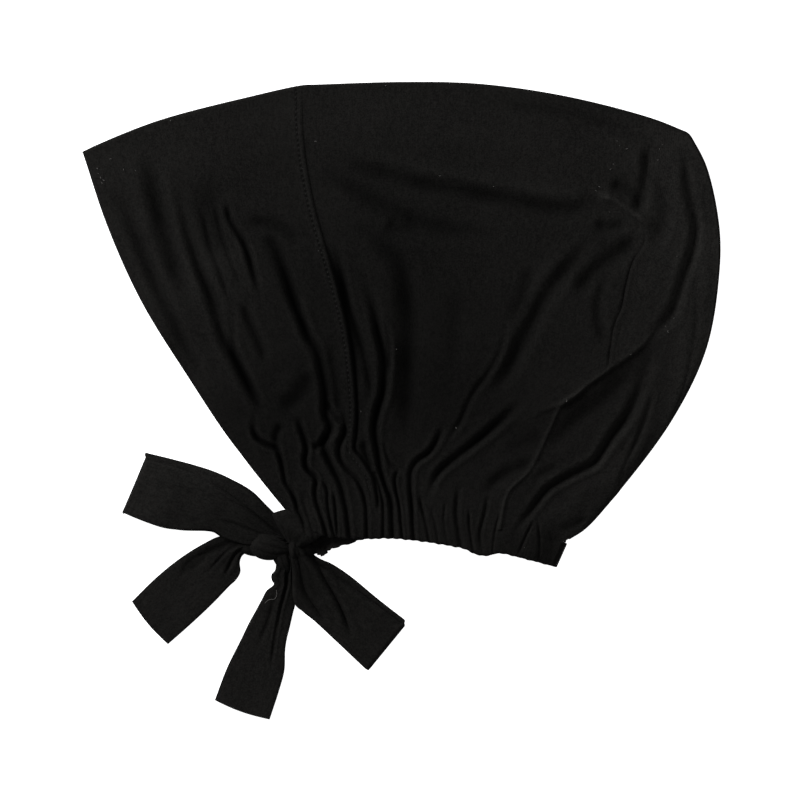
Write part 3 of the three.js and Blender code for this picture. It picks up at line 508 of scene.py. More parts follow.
def relief(plan):
    """Height and painted light and shade of every fold, of the lap and of the cloth's own unevenness."""
    height, wear = marks_of(FOLD_LINES, plan)
    step, shade = lap_marks(plan)
    x, y = plan.T
    height += step
    for high, across, up, seed in UNEVENNESS:
        height += high * wander(x / across, y / up, seed)
    wear = np.clip(wear + shade, -1, PALEST_PAINTED_LIGHT)
    return height, wear + place_shading(LIGHT_AND_SHADE_PLACES, plan)


# The cap's cloth in the plan

FOOT_LINE = Line(CASING_FOOT)


def read_rows(rows, at):
    """The columns of a table after its first, eased between its rows."""
    rows = np.array(rows, float)
    place = np.clip(np.searchsorted(rows[:, 0], at, side="right") - 1, 0, len(rows) - 2)
    low, high = rows[place], rows[place + 1]
    share = eased((at - low[:, 0]) / (high[:, 0] - low[:, 0]))[:, None]
    return mix(low[:, 1:], high[:, 1:], share)


def casing_plan(along, climb):
    """Place on the upper layer's casing: climb is 0 at its foot and 1 at its seam."""
    row = FOOT_LINE.at(along)
    lean = np.radians(row[:, 2])
    way = np.column_stack([np.sin(lean), np.cos(lean)])
    return row[:, :2] + way * (CASING_HEIGHT * row[:, 3] * climb)[:, None]


def loft_at(along, down):
    """How far the upper layer stands above the crown fold."""
    shares = np.column_stack([np.zeros(len(along)), read_rows(LOFT_ROWS, along)])
    stops = np.array(LOFT_STOPS)
    place = np.clip(np.searchsorted(stops, down, side="right") - 1, 0, len(stops) - 2)
    part = eased((down - stops[place]) / (stops[place + 1] - stops[place]))
    rows = np.arange(len(along))
    return LOFT * mix(shares[rows, place], shares[rows, place + 1], part)


# Making meshes


def sheet_mesh(name, columns, rows, shape, turned=False):
    """A piece from a grid. shape takes the shares across and down of each vertex. It gives the place in
    the plan with the height, the place on the flat cloth, and the painted light and shade, negative where
    shade is painted, positive where light is painted. turned is for a grid that shows its back."""
    bm = bmesh.new()
    bmesh.ops.create_grid(bm, x_segments=columns, y_segments=rows, size=0.5)
    shares = np.array([vert.co[:2] for vert in bm.verts]) + 0.5
    place, cloth, wear = shape(shares[:, 0], shares[:, 1])
    painted = bm.verts.layers.float.new("wear")
    for vert, spot, amount in zip(bm.verts, in_metres(place), wear):
        vert.co = spot
        vert[painted] = amount
    layer = bm.loops.layers.uv.new("cloth")
    cloth = cloth * MM
    for face in bm.faces:
        for loop in face.loops:
            loop[layer].uv = cloth[loop.vert.index]
    for edge in bm.edges:
        edge.smooth = not edge.is_boundary
    if turned:
        bmesh.ops.reverse_faces(bm, faces=bm.faces)
    return piece_from(name, bm)


def piece_from(name, bm):
    """A smooth piece at the origin, with its place in its mesh."""
    for face in bm.faces:
        face.smooth = True
    mesh = bpy.data.meshes.new(name)
    bm.to_mesh(mesh)
    bm.free()
    piece = bpy.data.objects.new(name, mesh)
    bpy.context.collection.objects.link(piece)
    return piece


def thicken(piece, wall):
    """Gives a sheet its wall, inwards from its shown face."""
    solid = piece.modifiers.new("wall", "SOLIDIFY")
    solid.thickness = wall * MM
    solid.offset = -1
    solid.use_even_offset = False
    solid.use_quality_normals = True


def finish_piece(piece, material, slot, *nodes):
    """Gives a piece its material and the nodes that it stands for. slot is not used."""
    piece.data.materials.append(material)
    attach(piece, "root")
    if nodes:
        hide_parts(*nodes)
    return piece


# Shader groups

RIB_PITCH = 0.85  # from rib to rib of the knit
COURSE_PITCH = 0.6  # from row to row
PILE_MIDDLE = -1.72  # brings the sum of the pile's noises back to between 0 and 1
DEEPEST_PAINTED_SHADE = 0.86  # how much of its colour the deepest painted shade takes away


def new_group(name, inputs, outputs):
    """A shader group, its input node and its output node. An input is its name, its type and its value."""
    group = bpy.data.node_groups.new(name, "ShaderNodeTree")
    for label, kind, value in inputs:
        socket = group.interface.new_socket(label, in_out="INPUT", socket_type=kind)
        if value is not None:
            socket.default_value = value
    for label, kind in outputs:
        group.interface.new_socket(label, in_out="OUTPUT", socket_type=kind)
    return group, group.nodes.new("NodeGroupInput"), group.nodes.new("NodeGroupOutput")


def feed(tree, socket, value):
    """Sets a socket to a value, or links another node's socket to it."""
    if isinstance(value, bpy.types.NodeSocket):
        tree.links.new(value, socket)
    else:
        socket.default_value = value


def socket_of(node, key):
    """An input by its number, such as i0, or by its name, with _ for a blank."""
    if key[0] == "i" and key[1:].isdigit():
        return node.inputs[int(key[1:])]
    return node.inputs[key.replace("_", " ")]


def add_node(tree, kind, settings=None, **inputs):
    """A node with its settings and its inputs, each a value or another node's socket."""
    node = tree.nodes.new(kind)
    for key, value in (settings or {}).items():
        setattr(node, key, value)
    for key, value in inputs.items():
        feed(tree, socket_of(node, key), value)
    return node


def maths(tree, operation, *values, clamp=False):
    """One step of arithmetic on values or other nodes' sockets."""
    node = add_node(tree, "ShaderNodeMath", {"operation": operation, "use_clamp": clamp})
    for socket, value in zip(node.inputs, values):
        feed(tree, socket, value)
    return node.outputs[0]


def noise(tree, place, scale, detail):
    """Noise from 0 to 1."""
    return add_node(tree, "ShaderNodeTexNoise", Vector=place, Scale=scale, Detail=detail).outputs["Fac"]


def colour_between(tree, share, first, second):
    """A colour between two, each a colour or another node's socket."""
    blend = add_node(tree, "ShaderNodeMix", {"data_type": "RGBA"}, Factor=share, i6=first, i7=second)
    return blend.outputs[2]


def knit_group():
    """Fine jersey: ribs of little V stitches, read from the cloth's own map in metres."""
    inputs = [
        ("Cloth", "NodeSocketVector", None),
        ("Wale", "NodeSocketFloat", RIB_PITCH * MM),
        ("Course", "NodeSocketFloat", COURSE_PITCH * MM),
    ]
    outputs = [("Height", "NodeSocketFloat"), ("Shade", "NodeSocketFloat")]
    group, given, out = new_group("jersey_knit", inputs, outputs)
    split = add_node(group, "ShaderNodeSeparateXYZ", i0=given.outputs["Cloth"])
    wales = maths(group, "DIVIDE", split.outputs[0], given.outputs["Wale"])
    courses = maths(group, "DIVIDE", split.outputs[1], given.outputs["Course"])
    across = maths(group, "PINGPONG", wales, 0.5)
    rib = maths(group, "SINE", maths(group, "MULTIPLY", across, math.pi * 2))
    slanted = maths(group, "ADD", courses, across)
    stitch = maths(group, "SINE", maths(group, "MULTIPLY", slanted, math.pi * 2))
    weave = maths(group, "ADD", rib, maths(group, "MULTIPLY", stitch, 0.35))
    height = maths(group, "ADD", weave, noise(group, given.outputs["Cloth"], 900, 2))
    group.links.new(height, out.inputs["Height"])
    group.links.new(maths(group, "MULTIPLY_ADD", height, 0.25, 0.4, clamp=True), out.inputs["Shade"])
    return group


def pile_group():
    """The jersey's pile, rubbed with use: broad patches, mottling, fine streaks along the ribs and grain.
    """
    inputs = [("Place", "NodeSocketVector", None), ("Cloth", "NodeSocketVector", None)]
    group, given, out = new_group("worn_pile", inputs, [("Shade", "NodeSocketFloat")])
    place = given.outputs["Place"]
    ribs = add_node(group, "ShaderNodeMapping", Vector=given.outputs["Cloth"], Scale=(900, 160, 1))
    patches = noise(group, place, 26, 3)
    mottle = noise(group, place, 480, 1)
    streaks = noise(group, ribs.outputs[0], 1, 2)
    grain = noise(group, place, 1300, 2)
    total = PILE_MIDDLE
    for shade, share in ((patches, 0.7), (mottle, 0.8), (streaks, 0.8), (grain, 2.1)):
        total = maths(group, "MULTIPLY_ADD", shade, share, total)
    group.links.new(maths(group, "ADD", total, 0, clamp=True), out.inputs["Shade"])
    return group


def painted_shading_group():
    """How much lighter or darker the cloth is painted: darker with painted shade, lighter with painted
    light.
    """
    inputs = [("Wear", "NodeSocketFloat", 0.0)]
    group, given, out = new_group("painted_cloth_shading", inputs, [("Gain", "NodeSocketFloat")])
    pale = maths(group, "MAXIMUM", given.outputs["Wear"], 0)
    dark = maths(group, "MULTIPLY", given.outputs["Wear"], -1, clamp=True)
    gain = maths(group, "MULTIPLY_ADD", dark, -DEEPEST_PAINTED_SHADE, 1)
    group.links.new(maths(group, "ADD", pale, gain), out.inputs["Gain"])
    return group


KNIT = knit_group()
PILE = pile_group()
PAINTED_SHADING = painted_shading_group()

# Materials

JERSEY_ROUGH = 0.95
JERSEY_GLOSS = 0.04
KNIT_SHADE = 0.3  # share of the tone that comes from the knit, against the pile
KNIT_DEPTH = 0.09  # of its ribs
HOLE_REACH = 1.0  # how far round its middle a needle hole darkens the cloth
HOLE_DARK = 0.8
HOLE_DEPTH = 6.0  # in heights of the knit
HOLES_FADE = 40.0  # length over which the holes fade out at the lower end


def cloth_material(name, dark, light, stitched=False):
    """Black jersey: knit, mottling and pile, and on the band the needle holes of its topstitching."""
    material = bpy.data.materials.new(name)
    material.use_nodes = True
    tree = material.node_tree
    shader = tree.nodes["Principled BSDF"]
    cloth = add_node(tree, "ShaderNodeUVMap", {"uv_map": "cloth"}).outputs[0]
    place = tree.nodes.new("ShaderNodeTexCoord").outputs["Object"]
    knit = add_node(tree, "ShaderNodeGroup", {"node_tree": KNIT}, Cloth=cloth)
    pile = add_node(tree, "ShaderNodeGroup", {"node_tree": PILE}, Place=place, Cloth=cloth)
    tone = maths(tree, "MULTIPLY_ADD", knit.outputs["Shade"], KNIT_SHADE, -0.4 * KNIT_SHADE)
    tone = maths(tree, "ADD", pile.outputs["Shade"], tone, clamp=True)
    colour = colour_between(tree, tone, (*dark, 1), (*light, 1))
    # painted light and shade, kept on the meshes' vertices, scales the colour
    painted = add_node(tree, "ShaderNodeAttribute", {"attribute_name": "wear"}).outputs["Fac"]
    gain = add_node(tree, "ShaderNodeGroup", {"node_tree": PAINTED_SHADING}, Wear=painted).outputs["Gain"]
    scaled = add_node(tree, "ShaderNodeVectorMath", {"operation": "SCALE"}, i0=colour, Scale=gain)
    base = scaled.outputs[0]
    height = knit.outputs["Height"]
    if stitched:
        holes = needle_holes(tree)
        shade = maths(tree, "MULTIPLY", holes, HOLE_DARK)
        base = colour_between(tree, shade, base, (*[part * 0.2 for part in dark], 1))
        height = maths(tree, "SUBTRACT", height, maths(tree, "MULTIPLY", holes, HOLE_DEPTH))
    tree.links.new(base, shader.inputs["Base Color"])
    bump = add_node(tree, "ShaderNodeBump", Height=height, Strength=0.55, Distance=KNIT_DEPTH * MM)
    tree.links.new(bump.outputs[0], shader.inputs["Normal"])
    shader.inputs["Roughness"].default_value = JERSEY_ROUGH
    shader.inputs["Specular IOR Level"].default_value = JERSEY_GLOSS
    return material


def needle_holes(tree):
    """Mask of the holes, from the map that measures from the seam and along it."""
    seam = add_node(tree, "ShaderNodeUVMap", {"uv_map": "seam"}).outputs[0]
    split = add_node(tree, "ShaderNodeSeparateXYZ", i0=seam)
    aside = maths(tree, "DIVIDE", maths(tree, "SUBTRACT", split.outputs[0], STITCH_INSET * MM), MM)
    along = maths(tree, "PINGPONG", maths(tree, "DIVIDE", split.outputs[1], STITCH_PITCH * MM), 0.5)
    along = maths(tree, "MULTIPLY", along, STITCH_PITCH)
    squares = maths(tree, "ADD", maths(tree, "POWER", aside, 2), maths(tree, "POWER", along, 2))
    far = maths(tree, "SQRT", squares)
    hole = maths(tree, "SUBTRACT", 1, maths(tree, "DIVIDE", far, HOLE_REACH), clamp=True)
    left = maths(tree, "SUBTRACT", STITCHED_LENGTH * MM, split.outputs[1])
    return maths(tree, "MULTIPLY", hole, maths(tree, "DIVIDE", left, HOLES_FADE * MM, clamp=True))


def plain_material(name, colour, rough, scale):
    """Thread and lint: one colour, uneven along the fibre."""
    material = bpy.data.materials.new(name)
    material.use_nodes = True
    tree = material.node_tree
    shader = tree.nodes["Principled BSDF"]
    place = tree.nodes.new("ShaderNodeTexCoord").outputs["Object"]
    darker = (*[part * 0.6 for part in colour], 1)
    paler = (*[part * 1.4 for part in colour], 1)
    tint = colour_between(tree, noise(tree, place, scale, 2), darker, paler)
    tree.links.new(tint, shader.inputs["Base Color"])
    shader.inputs["Roughness"].default_value = rough
    shader.inputs["Specular IOR Level"].default_value = 0.2
    return material


JERSEY_DARK = (0.0037, 0.0036, 0.0034)
JERSEY_LIGHT = (0.0106, 0.0102, 0.0095)
HEM_DARK = (0.0034, 0.0033, 0.0031)
HEM_LIGHT = (0.0096, 0.0092, 0.0086)
THREAD_BLACK = (0.0066, 0.0064, 0.006)
LINT_GREY = (0.085, 0.082, 0.078)

jersey = cloth_material("black_jersey", JERSEY_DARK, JERSEY_LIGHT)
stitched_jersey = cloth_material("topstitched_jersey", JERSEY_DARK, JERSEY_LIGHT, stitched=True)
hem_jersey = cloth_material("hemmed_jersey", HEM_DARK, HEM_LIGHT)
thread = plain_material("black_thread", THREAD_BLACK, 0.9, 4000)
lint = plain_material("grey_lint", LINT_GREY, 0.9, 3000)

# Panels: from the under layer's neck, round the crown fold and back to the upper layer's neck. first and
# last are the shares of the casing between which a panel meets it

FRONT_SEAM_LINE = Line(FRONT_SEAM)
BACK_SEAM_LINE = Line(BACK_SEAM)
FRONT_SEAM_AT = 0.348
BACK_SEAM_AT = 0.79

Panel = namedtuple("Panel", "name columns upper_rows first last fold left right wall")
PANELS = [
    Panel("front_panel", 130, 205, 0, FRONT_SEAM_AT, Line(CROWN_FOLD, FOLD_ROWS["front"]),
          Line(FRONT_EDGE), FRONT_SEAM_LINE, BAND_WALL),
    Panel("crown_panel", 165, 200, FRONT_SEAM_AT, BACK_SEAM_AT, Line(CROWN_FOLD, FOLD_ROWS["crown"]),
          FRONT_SEAM_LINE, BACK_SEAM_LINE, JERSEY_WALL),
    Panel("back_panel", 190, 150, BACK_SEAM_AT, 1, Line(CROWN_FOLD, FOLD_ROWS["back"]),
          BACK_SEAM_LINE, Line(TIP_LINE), JERSEY_WALL),
]
UNDER_ROWS = 26  # rows of a panel's grid over the under layer
TURN_ROWS = 8  # and round the crown fold
STRAY_POWER = 6  # the higher, the later the under layer strays from the upper one on its way down
UNDER_RIPPLE = 0.2  # mean height of the under layer's unevenness
UPPER_LEAST = 3.4  # the upper layer never lies lower than this
MAP_SIZE = (420, 220)  # of the cloth's own map: along the casing and from the crown fold down
EDGE_ROLL = 1.6  # how far in from a free edge the cloth starts to round off
BAND_ROLL = 0.9  # how far the band's front edge rounds down

GROOVE_HALF = 0.9  # half the width of the front seam's groove
ALLOWANCE_HEIGHT = 0.75  # of the cloth in front of it, which is doubled by the seam's allowance
ALLOWANCE_WIDTH = 6.5
STITCH_DIP = 0.4  # how deep the topstitching pulls the allowance in
BACK_DIP = 0.8  # depth of the back seam's line
BACK_HALF = 0.6  # half its width
BACK_SHOWN = (0.2, 0.64)  # shares of the back seam between which its line shows
RIDGE_FROM = 0.66  # below this share it stands up as a ridge


def cloth_stations(upper_rows):
    """For each row of a panel's grid: side, share of the way down, and turn round the fold in radians."""
    side = [-1] * UNDER_ROWS + [0] * (TURN_ROWS + 1) + [1] * upper_rows
    down = [1 - row / UNDER_ROWS for row in range(UNDER_ROWS)] + [0] * (TURN_ROWS + 1)
    down += [(row + 1) / upper_rows for row in range(upper_rows)]
    turns = np.linspace(-math.pi / 2, math.pi / 2, TURN_ROWS + 1)
    turn = [-math.pi / 2] * UNDER_ROWS + list(turns) + [math.pi / 2] * upper_rows
    return np.array(side), np.array(down), np.array(turn)


def rolled(distance, depth):
    """How much a free edge has rounded down at a distance in from it."""
    return -depth * (1 - np.sqrt(1 - (1 - np.clip(distance / EDGE_ROLL, 0, 1)) ** 2))


def seam_marks(plan):
    """Height and painted light and shade of the front seam's groove and raised allowance, and of the back
    seam's fine line: painted shade in the groove and the line, painted highlight on the allowance and the
    ridge.
    """
    aside, along = beside(FRONT_SEAM_LINE.points, plan)
    in_front = -aside
    ends = eased((1 - along) / 0.07)
    groove = ends * mix(0.1, 1.0, eased((along - 0.04) / 0.4))
    height = -SEAM_DIP * groove * np.exp(-((aside / GROOVE_HALF) ** 2))
    raised = ends * eased(in_front / 1.2) * eased((ALLOWANCE_WIDTH - in_front) / 3.5)
    height += ALLOWANCE_HEIGHT * raised
    height -= STITCH_DIP * ends * np.exp(-(((in_front - STITCH_INSET) / 0.8) ** 2))
    # painted highlight on the raised allowance, painted shade in the groove
    wear = 0.2 * raised * eased((4 - in_front) / 2) - 0.6 * groove * np.exp(-((aside / 1.3) ** 2))
    aside, along = beside(BACK_SEAM_LINE.points, plan)
    shown = eased((along - BACK_SHOWN[0]) / 0.1) * eased((BACK_SHOWN[1] - along) / 0.06)
    line = shown * np.exp(-((aside / BACK_HALF) ** 2))
    bank = shown * np.exp(-(((aside - 1.5) / 0.9) ** 2))
    ridge = eased((along - RIDGE_FROM) / 0.06) * np.exp(-((aside / 1.1) ** 2))
    height += ridge + 0.3 * bank - BACK_DIP * line
    # painted highlight on the ridge, painted shade in the back seam's line
    wear += 0.3 * ridge - 0.55 * line
    return height, wear


def panel_shape(panel):
    """A panel's shape for sheet_mesh, which runs round the crown fold from the under neck to the upper."""
    side, down, turn = cloth_stations(panel.upper_rows)

    def shape(across, round_fold):
        row = np.rint(round_fold * (len(side) - 1)).astype(int)
        s, d, t = side[row], down[row], turn[row]
        along = mix(panel.first, panel.last, across)
        fold = panel.fold.at(across)
        way = panel.fold.way(across)
        inward = np.column_stack([way[:, 1], -way[:, 0]])
        begin = fold + inward * FOLD_REACH
        neck = casing_plan(along, np.ones(len(along)))
        plan = mix(begin, neck, d[:, None])
        plan += panel.left.bulge(d) * (1 - across)[:, None] + panel.right.bulge(d) * across[:, None]
        plan -= inward * (FOLD_REACH * np.cos(t))[:, None]
        plan += read_rows(UNDER_SHIFT, along) * (np.where(s < 0, d, 0) ** STRAY_POWER)[:, None]
        height = FLOOR_GAP + (FOLD_RADIUS + CLOTH_TOP / 2) * (1 + np.sin(t))
        upper = s > 0
        grown = eased(d / CROWN_EASE) * eased((1 - along) / 0.04)
        bumps, wear = relief(plan)
        seams, seam_shading = seam_marks(plan)
        height[upper] += (grown * (bumps + seams))[upper] + loft_at(along[upper], d[upper])
        wear = np.where(upper, wear + seam_shading, 0)
        height[upper] = np.maximum(height[upper], UPPER_LEAST)
        lower = s < 0
        ripples = UNDER_RIPPLE * (1 + wander(plan[:, 0] / 40, plan[:, 1] / 40, 7)) * eased(d * 12)
        height[lower] += (ripples + JERSEY_WALL * eased((along - 0.9) / 0.05))[lower]
        height[lower] = np.maximum(height[lower], FLOOR_GAP)
        if panel.name == "front_panel":
            span = np.hypot(*(panel.left.at(d) - panel.right.at(d)).T)
            height += np.where(upper, rolled(across * span, BAND_ROLL), 0)
        cloth = np.column_stack([along, np.where(s >= 0, d, -d)]) * MAP_SIZE
        return np.column_stack([plan, height]), cloth, wear

    return shape


def add_seam_map(piece):
    """Second map of the band: distance from the front seam and the way along it."""
    mesh = piece.data
    count = len(mesh.vertices)
    spots = np.empty(count * 3)
    mesh.vertices.foreach_get("co", spots)
    plan = spots.reshape(-1, 3)[:, :2] / MM - np.array(ZERO)
    aside, along = beside(FRONT_SEAM_LINE.points, plan)
    length = FRONT_SEAM_LINE.share_of_length(along) * FRONT_SEAM_LINE.length
    values = np.column_stack([-aside, length]) * MM
    corner = np.empty(len(mesh.loops), int)
    mesh.loops.foreach_get("vertex_index", corner)
    layer = mesh.uv_layers.new(name="seam")
    layer.data.foreach_set("uv", values[corner].ravel())


panels = {}
for panel in PANELS:
    rows = UNDER_ROWS + TURN_ROWS + panel.upper_rows
    piece = sheet_mesh(panel.name + "_cloth", panel.columns, rows, panel_shape(panel), turned=True)
    if panel.name == "front_panel":
        add_seam_map(piece)
    thicken(piece, panel.wall)
    material = stitched_jersey if panel.name == "front_panel" else jersey
    finish_piece(piece, material, "jersey", panel.name)
    panels[panel.name] = piece

# Neck casing: along the upper neck, round the tip and back along the under layer

CASING_COLUMNS = 620
CASING_ROWS = 26
CASING_TUCK = 1.04  # how high it reaches, as a share of its height, so that it laps over the panels
CASING_GAP = 0.05  # how far its under side clears the floor
CASING_BELLY = 0.35  # how far its face rounds out between its two edges
CASING_ROLL = 1.3  # how far its edge rounds down
CASING_MAP = 840  # length of the cloth's own map along it
UNDER_LIFT = 4.4  # how far the under layer is raised where it shows below the upper one
UNDER_SHOWN = (0.11, 0.32)  # shares of its way between which it shows
UNDER_PAINTED_LIGHT = 0.9  # light painted on it there, against the shadow of the upper casing
KNOT_LIFT = 2.1  # how much further it is raised where it comes round from the knot
TIP_SHARE = 0.03  # share of the casing's columns that turn round its tip


def casing_shape(across, climb):
    """The casing for sheet_mesh: across runs along it and back, climb from its foot to its seam."""
    upper_end = 0.5 - TIP_SHARE / 2
    under_start = 0.5 + TIP_SHARE / 2
    t = np.clip((across - upper_end) / TIP_SHARE, 0, 1) * math.pi
    along = np.where(across < 0.5, across / upper_end, (1 - across) / (1 - under_start))
    along = np.clip(along, 0, 1)
    plan = casing_plan(along, climb * CASING_TUCK)
    under = eased((across - upper_end) / TIP_SHARE)
    plan += read_rows(UNDER_SHIFT, along) * under[:, None]
    onward = FOOT_LINE.way(along)
    plan += onward * (FOLD_RADIUS * np.sin(t))[:, None]
    belly = CASING_BELLY * np.sin(math.pi * climb) + rolled(climb * CASING_HEIGHT, CASING_ROLL)
    height = CASING_GAP + (FOLD_RADIUS + CLOTH_TOP / 2) * (1 + np.cos(t))
    upper = across < upper_end
    ease = eased((1 - along) / 0.06)
    height[upper] += loft_at(along[upper], np.ones(upper.sum()))
    bumps, wear = relief(plan)
    height[upper] += (ease * bumps + belly)[upper]
    lower = across > under_start
    ripples = 0.4 * (1 + wander(along * 60, climb * 0.4, 11)) * ease
    shown = eased((along - UNDER_SHOWN[0]) / 0.09) * eased((UNDER_SHOWN[1] - along) / 0.1)
    height[lower] += (ripples + UNDER_LIFT * shown + KNOT_LIFT * eased((0.16 - along) / 0.04))[lower]
    scallop = 0.35 * wander(along * 42, across * 0, 13) * (1 - climb) * eased(along / 0.05)
    plan[:, 1] += np.where(across < 0.5, scallop, 0)
    cloth = np.column_stack([across * CASING_MAP, climb * CASING_HEIGHT])
    height = np.maximum(height, FLOOR_GAP)
    # the upper layer takes the painted light and shade of the folds, the under layer painted light where it
    # shows
    wear = np.where(upper, wear, np.where(lower, UNDER_PAINTED_LIGHT * shown, 0))
    return np.column_stack([plan, height]), cloth, wear


casing = sheet_mesh("neck_casing_cloth", CASING_COLUMNS, CASING_ROWS, casing_shape)
thicken(casing, CASING_WALL)
finish_piece(casing, hem_jersey, "hemmed_jersey", "neck_casing")

# Strips of the bow

END_BOW = 1.1  # how far a tail's cut end bows outwards
KNOT_SHADE = -0.42  # how much shade is painted on a strip at the knot
END_PALE = 0.08  # and how much light at its end
BUNDLE_SHARE = 0.4  # share of a strip's length over which the knot draws it together
PLEAT_TURNS = 7  # half turns of the pleats' wave across a strip
TAIL_ARCH = 1.4  # how far the knot arches a strip across
LOOP_ARCH = 1.2
STRIP_ROLL = 0.8  # how far a strip's edges round down
LOOP_RADIUS = 1.3  # of the turn at a loop's end
LOOP_TURN = 0.05  # share of a loop's rows that turn round its end
TAIL_WIDTH = 28
LOOP_WIDTH = 30


def strip_marks(plan, creases, out):
    """Height and painted light and shade of a strip: its creases, and painted shade towards the knot."""
    height, wear = marks_of([(fold, smooth_line(fold.path, 6)) for fold in creases], plan)
    wear = np.clip(wear, -1, 0.4) + mix(KNOT_SHADE, END_PALE, eased(out / 0.85))
    wear += place_shading(BOW_LIGHT_AND_SHADE_PLACES, plan)
    return height + 0.3 * wander(plan[:, 0] / 18, plan[:, 1] / 18, 17), wear


def strip_rise(left, right, across, out, pleats, arch):
    """How much higher a strip lies for its pleats and its arch at the knot, and lower at its edges."""
    bundle = eased(1 - out / BUNDLE_SHARE)
    rise = bundle * (pleats * np.cos(across * math.pi * PLEAT_TURNS + 1) + arch * np.sin(math.pi * across))
    width = np.hypot(*(left.at(out) - right.at(out)).T)
    return rise + rolled(np.minimum(across, 1 - across) * width, STRIP_ROLL)


def tail_shape(left, right, levels, creases, pleats):
    """A single strip: levels are rows of the share of the way out and the height of its middle."""
    left, right = Line(left), Line(right)

    def shape(across, out):
        plan = mix(left.at(out), right.at(out), across[:, None])
        bow = END_BOW * np.sin(math.pi * across) * eased((out - 0.85) / 0.15)
        plan += mix(left.way(out), right.way(out), across[:, None]) * bow[:, None]
        bumps, wear = strip_marks(plan, creases, out)
        height = read_rows(levels, out)[:, 0] + bumps
        height += strip_rise(left, right, across, out, pleats, TAIL_ARCH)
        cloth = np.column_stack([across * TAIL_WIDTH, out * left.length])
        return np.column_stack([plan, np.maximum(height, TIE_WALL + STRIP_GAP)]), cloth, wear

    return shape


def loop_shape(left, right, crease, levels, creases, pleats):
    """A folded strip: out along its under run, round its end, and back on top. levels are rows of the
    share of the way out, the height of the under run's middle and how far the loop stands open."""
    left, right, upper_right = Line(left), Line(right), Line(crease)

    def shape(across, run):
        turned = np.clip((run - 0.5) / LOOP_TURN + 0.5, 0, 1)
        out = np.clip(np.where(run < 0.5, run, 1 - run) / (0.5 - LOOP_TURN / 2), 0, 1)
        top = eased(turned)
        under = mix(left.at(out), right.at(out), across[:, None])
        upper = mix(left.at(out), upper_right.at(out), across[:, None])
        plan = mix(under, upper, top[:, None])
        way = mix(left.way(out), right.way(out), across[:, None])
        rounding = LOOP_RADIUS * (np.sin(turned * math.pi) - 1) * eased(out * 3 - 2)
        plan += way * rounding[:, None]
        level = read_rows(levels, out)
        bumps, wear = strip_marks(plan, creases, out)
        height = level[:, 0] + (2 * LOOP_RADIUS + level[:, 1]) * top + np.where(run > 0.5, bumps, 0)
        height += strip_rise(left, right, across, out, pleats, LOOP_ARCH * top)
        cloth = np.column_stack([across * LOOP_WIDTH, run * 2 * left.length])
        return np.column_stack([plan, np.maximum(height, TIE_WALL + STRIP_GAP)]), cloth, wear

    return shape


TAIL_LEVELS = [(0, 4.6), (0.25, 3.4), (0.5, 1.9), (1, 1.4)]
LOOP_LEVELS = [(0, 3.6, 0.6), (0.2, 3.6, 1.2), (0.45, 1.8, 2.6), (0.75, 1.3, 1.8), (1, 1.3, 0.2)]

LEFT_TAIL_CREASES = [
    Fold(1.3, 1.8, 0.4, 0.4, 0.3, "last", [(85, 9), (78, 7), (74, 1), (71, -6)]),
    Fold(0.9, 1.5, 0.4, 0.4, 0.3, "last", [(85, 11), (76, 10), (69, 4), (62, -4)]),
    Fold(1.6, 4.0, 0.2, 0.2, 0, "last", [(76, 13), (62, 6), (48, -5)]),
]
BOTTOM_TAIL_CREASES = [
    Fold(1.3, 1.6, 0.5, 0.5, 0.4, "last",
         [(103.6, 3), (102.9, -2.6), (102.6, -7.7), (101.6, -12.8), (99.5, -20.5), (98, -28.1),
          (96.5, -36.7), (95, -47), (94.5, -54)]),
    Fold(0.7, 2.4, 0.3, 0.3, 0, "both", [(97, -14), (93, -28), (88, -40)]),
    Fold(1.0, 2.4, 0.2, 0.2, 0.1, "last", [(107, 2), (107.5, -6), (108, -14), (107, -20)]),
]
UPPER_LOOP_CREASES = [
    Fold(0.8, 2.0, 0.3, 0.3, 0.2, "last", [(97, 15), (88, 17), (77, 21), (66, 24)]),
    Fold(0.7, 1.5, 0.3, 0.3, 0.3, "last", [(98, 17), (90, 24), (80, 30), (70, 35)]),
    Fold(0.6, 5.0, 0.1, 0.1, 0, "both", [(60, 34), (48, 38), (36, 41)]),
]
LOWER_LOOP_CREASES = [
    Fold(2.6, 3.0, 0.5, 0.5, 0.2, "last",
         [(113, 6), (118.4, -0.5), (121.4, -5.6), (125, -11.7), (129.6, -20.4), (132.6, -28.1),
          (136, -36)]),
    Fold(1.6, 3.4, 0.3, 0.1, 0, "last", [(108, 4), (110, -7), (112.5, -14), (118, -22), (123, -29)]),
    Fold(0.9, 6.0, 0, 0, 0, "last", [(109, 6), (113, -8), (121, -20)]),
    Fold(1.4, 1.8, 0.3, 0.2, 0.2, "last", [(116, 3), (124, -3.5), (134, -10.5), (143, -16.3), (154, -24)]),
]

# Strips: columns and rows of the grid, whether it shows its back, and its shape

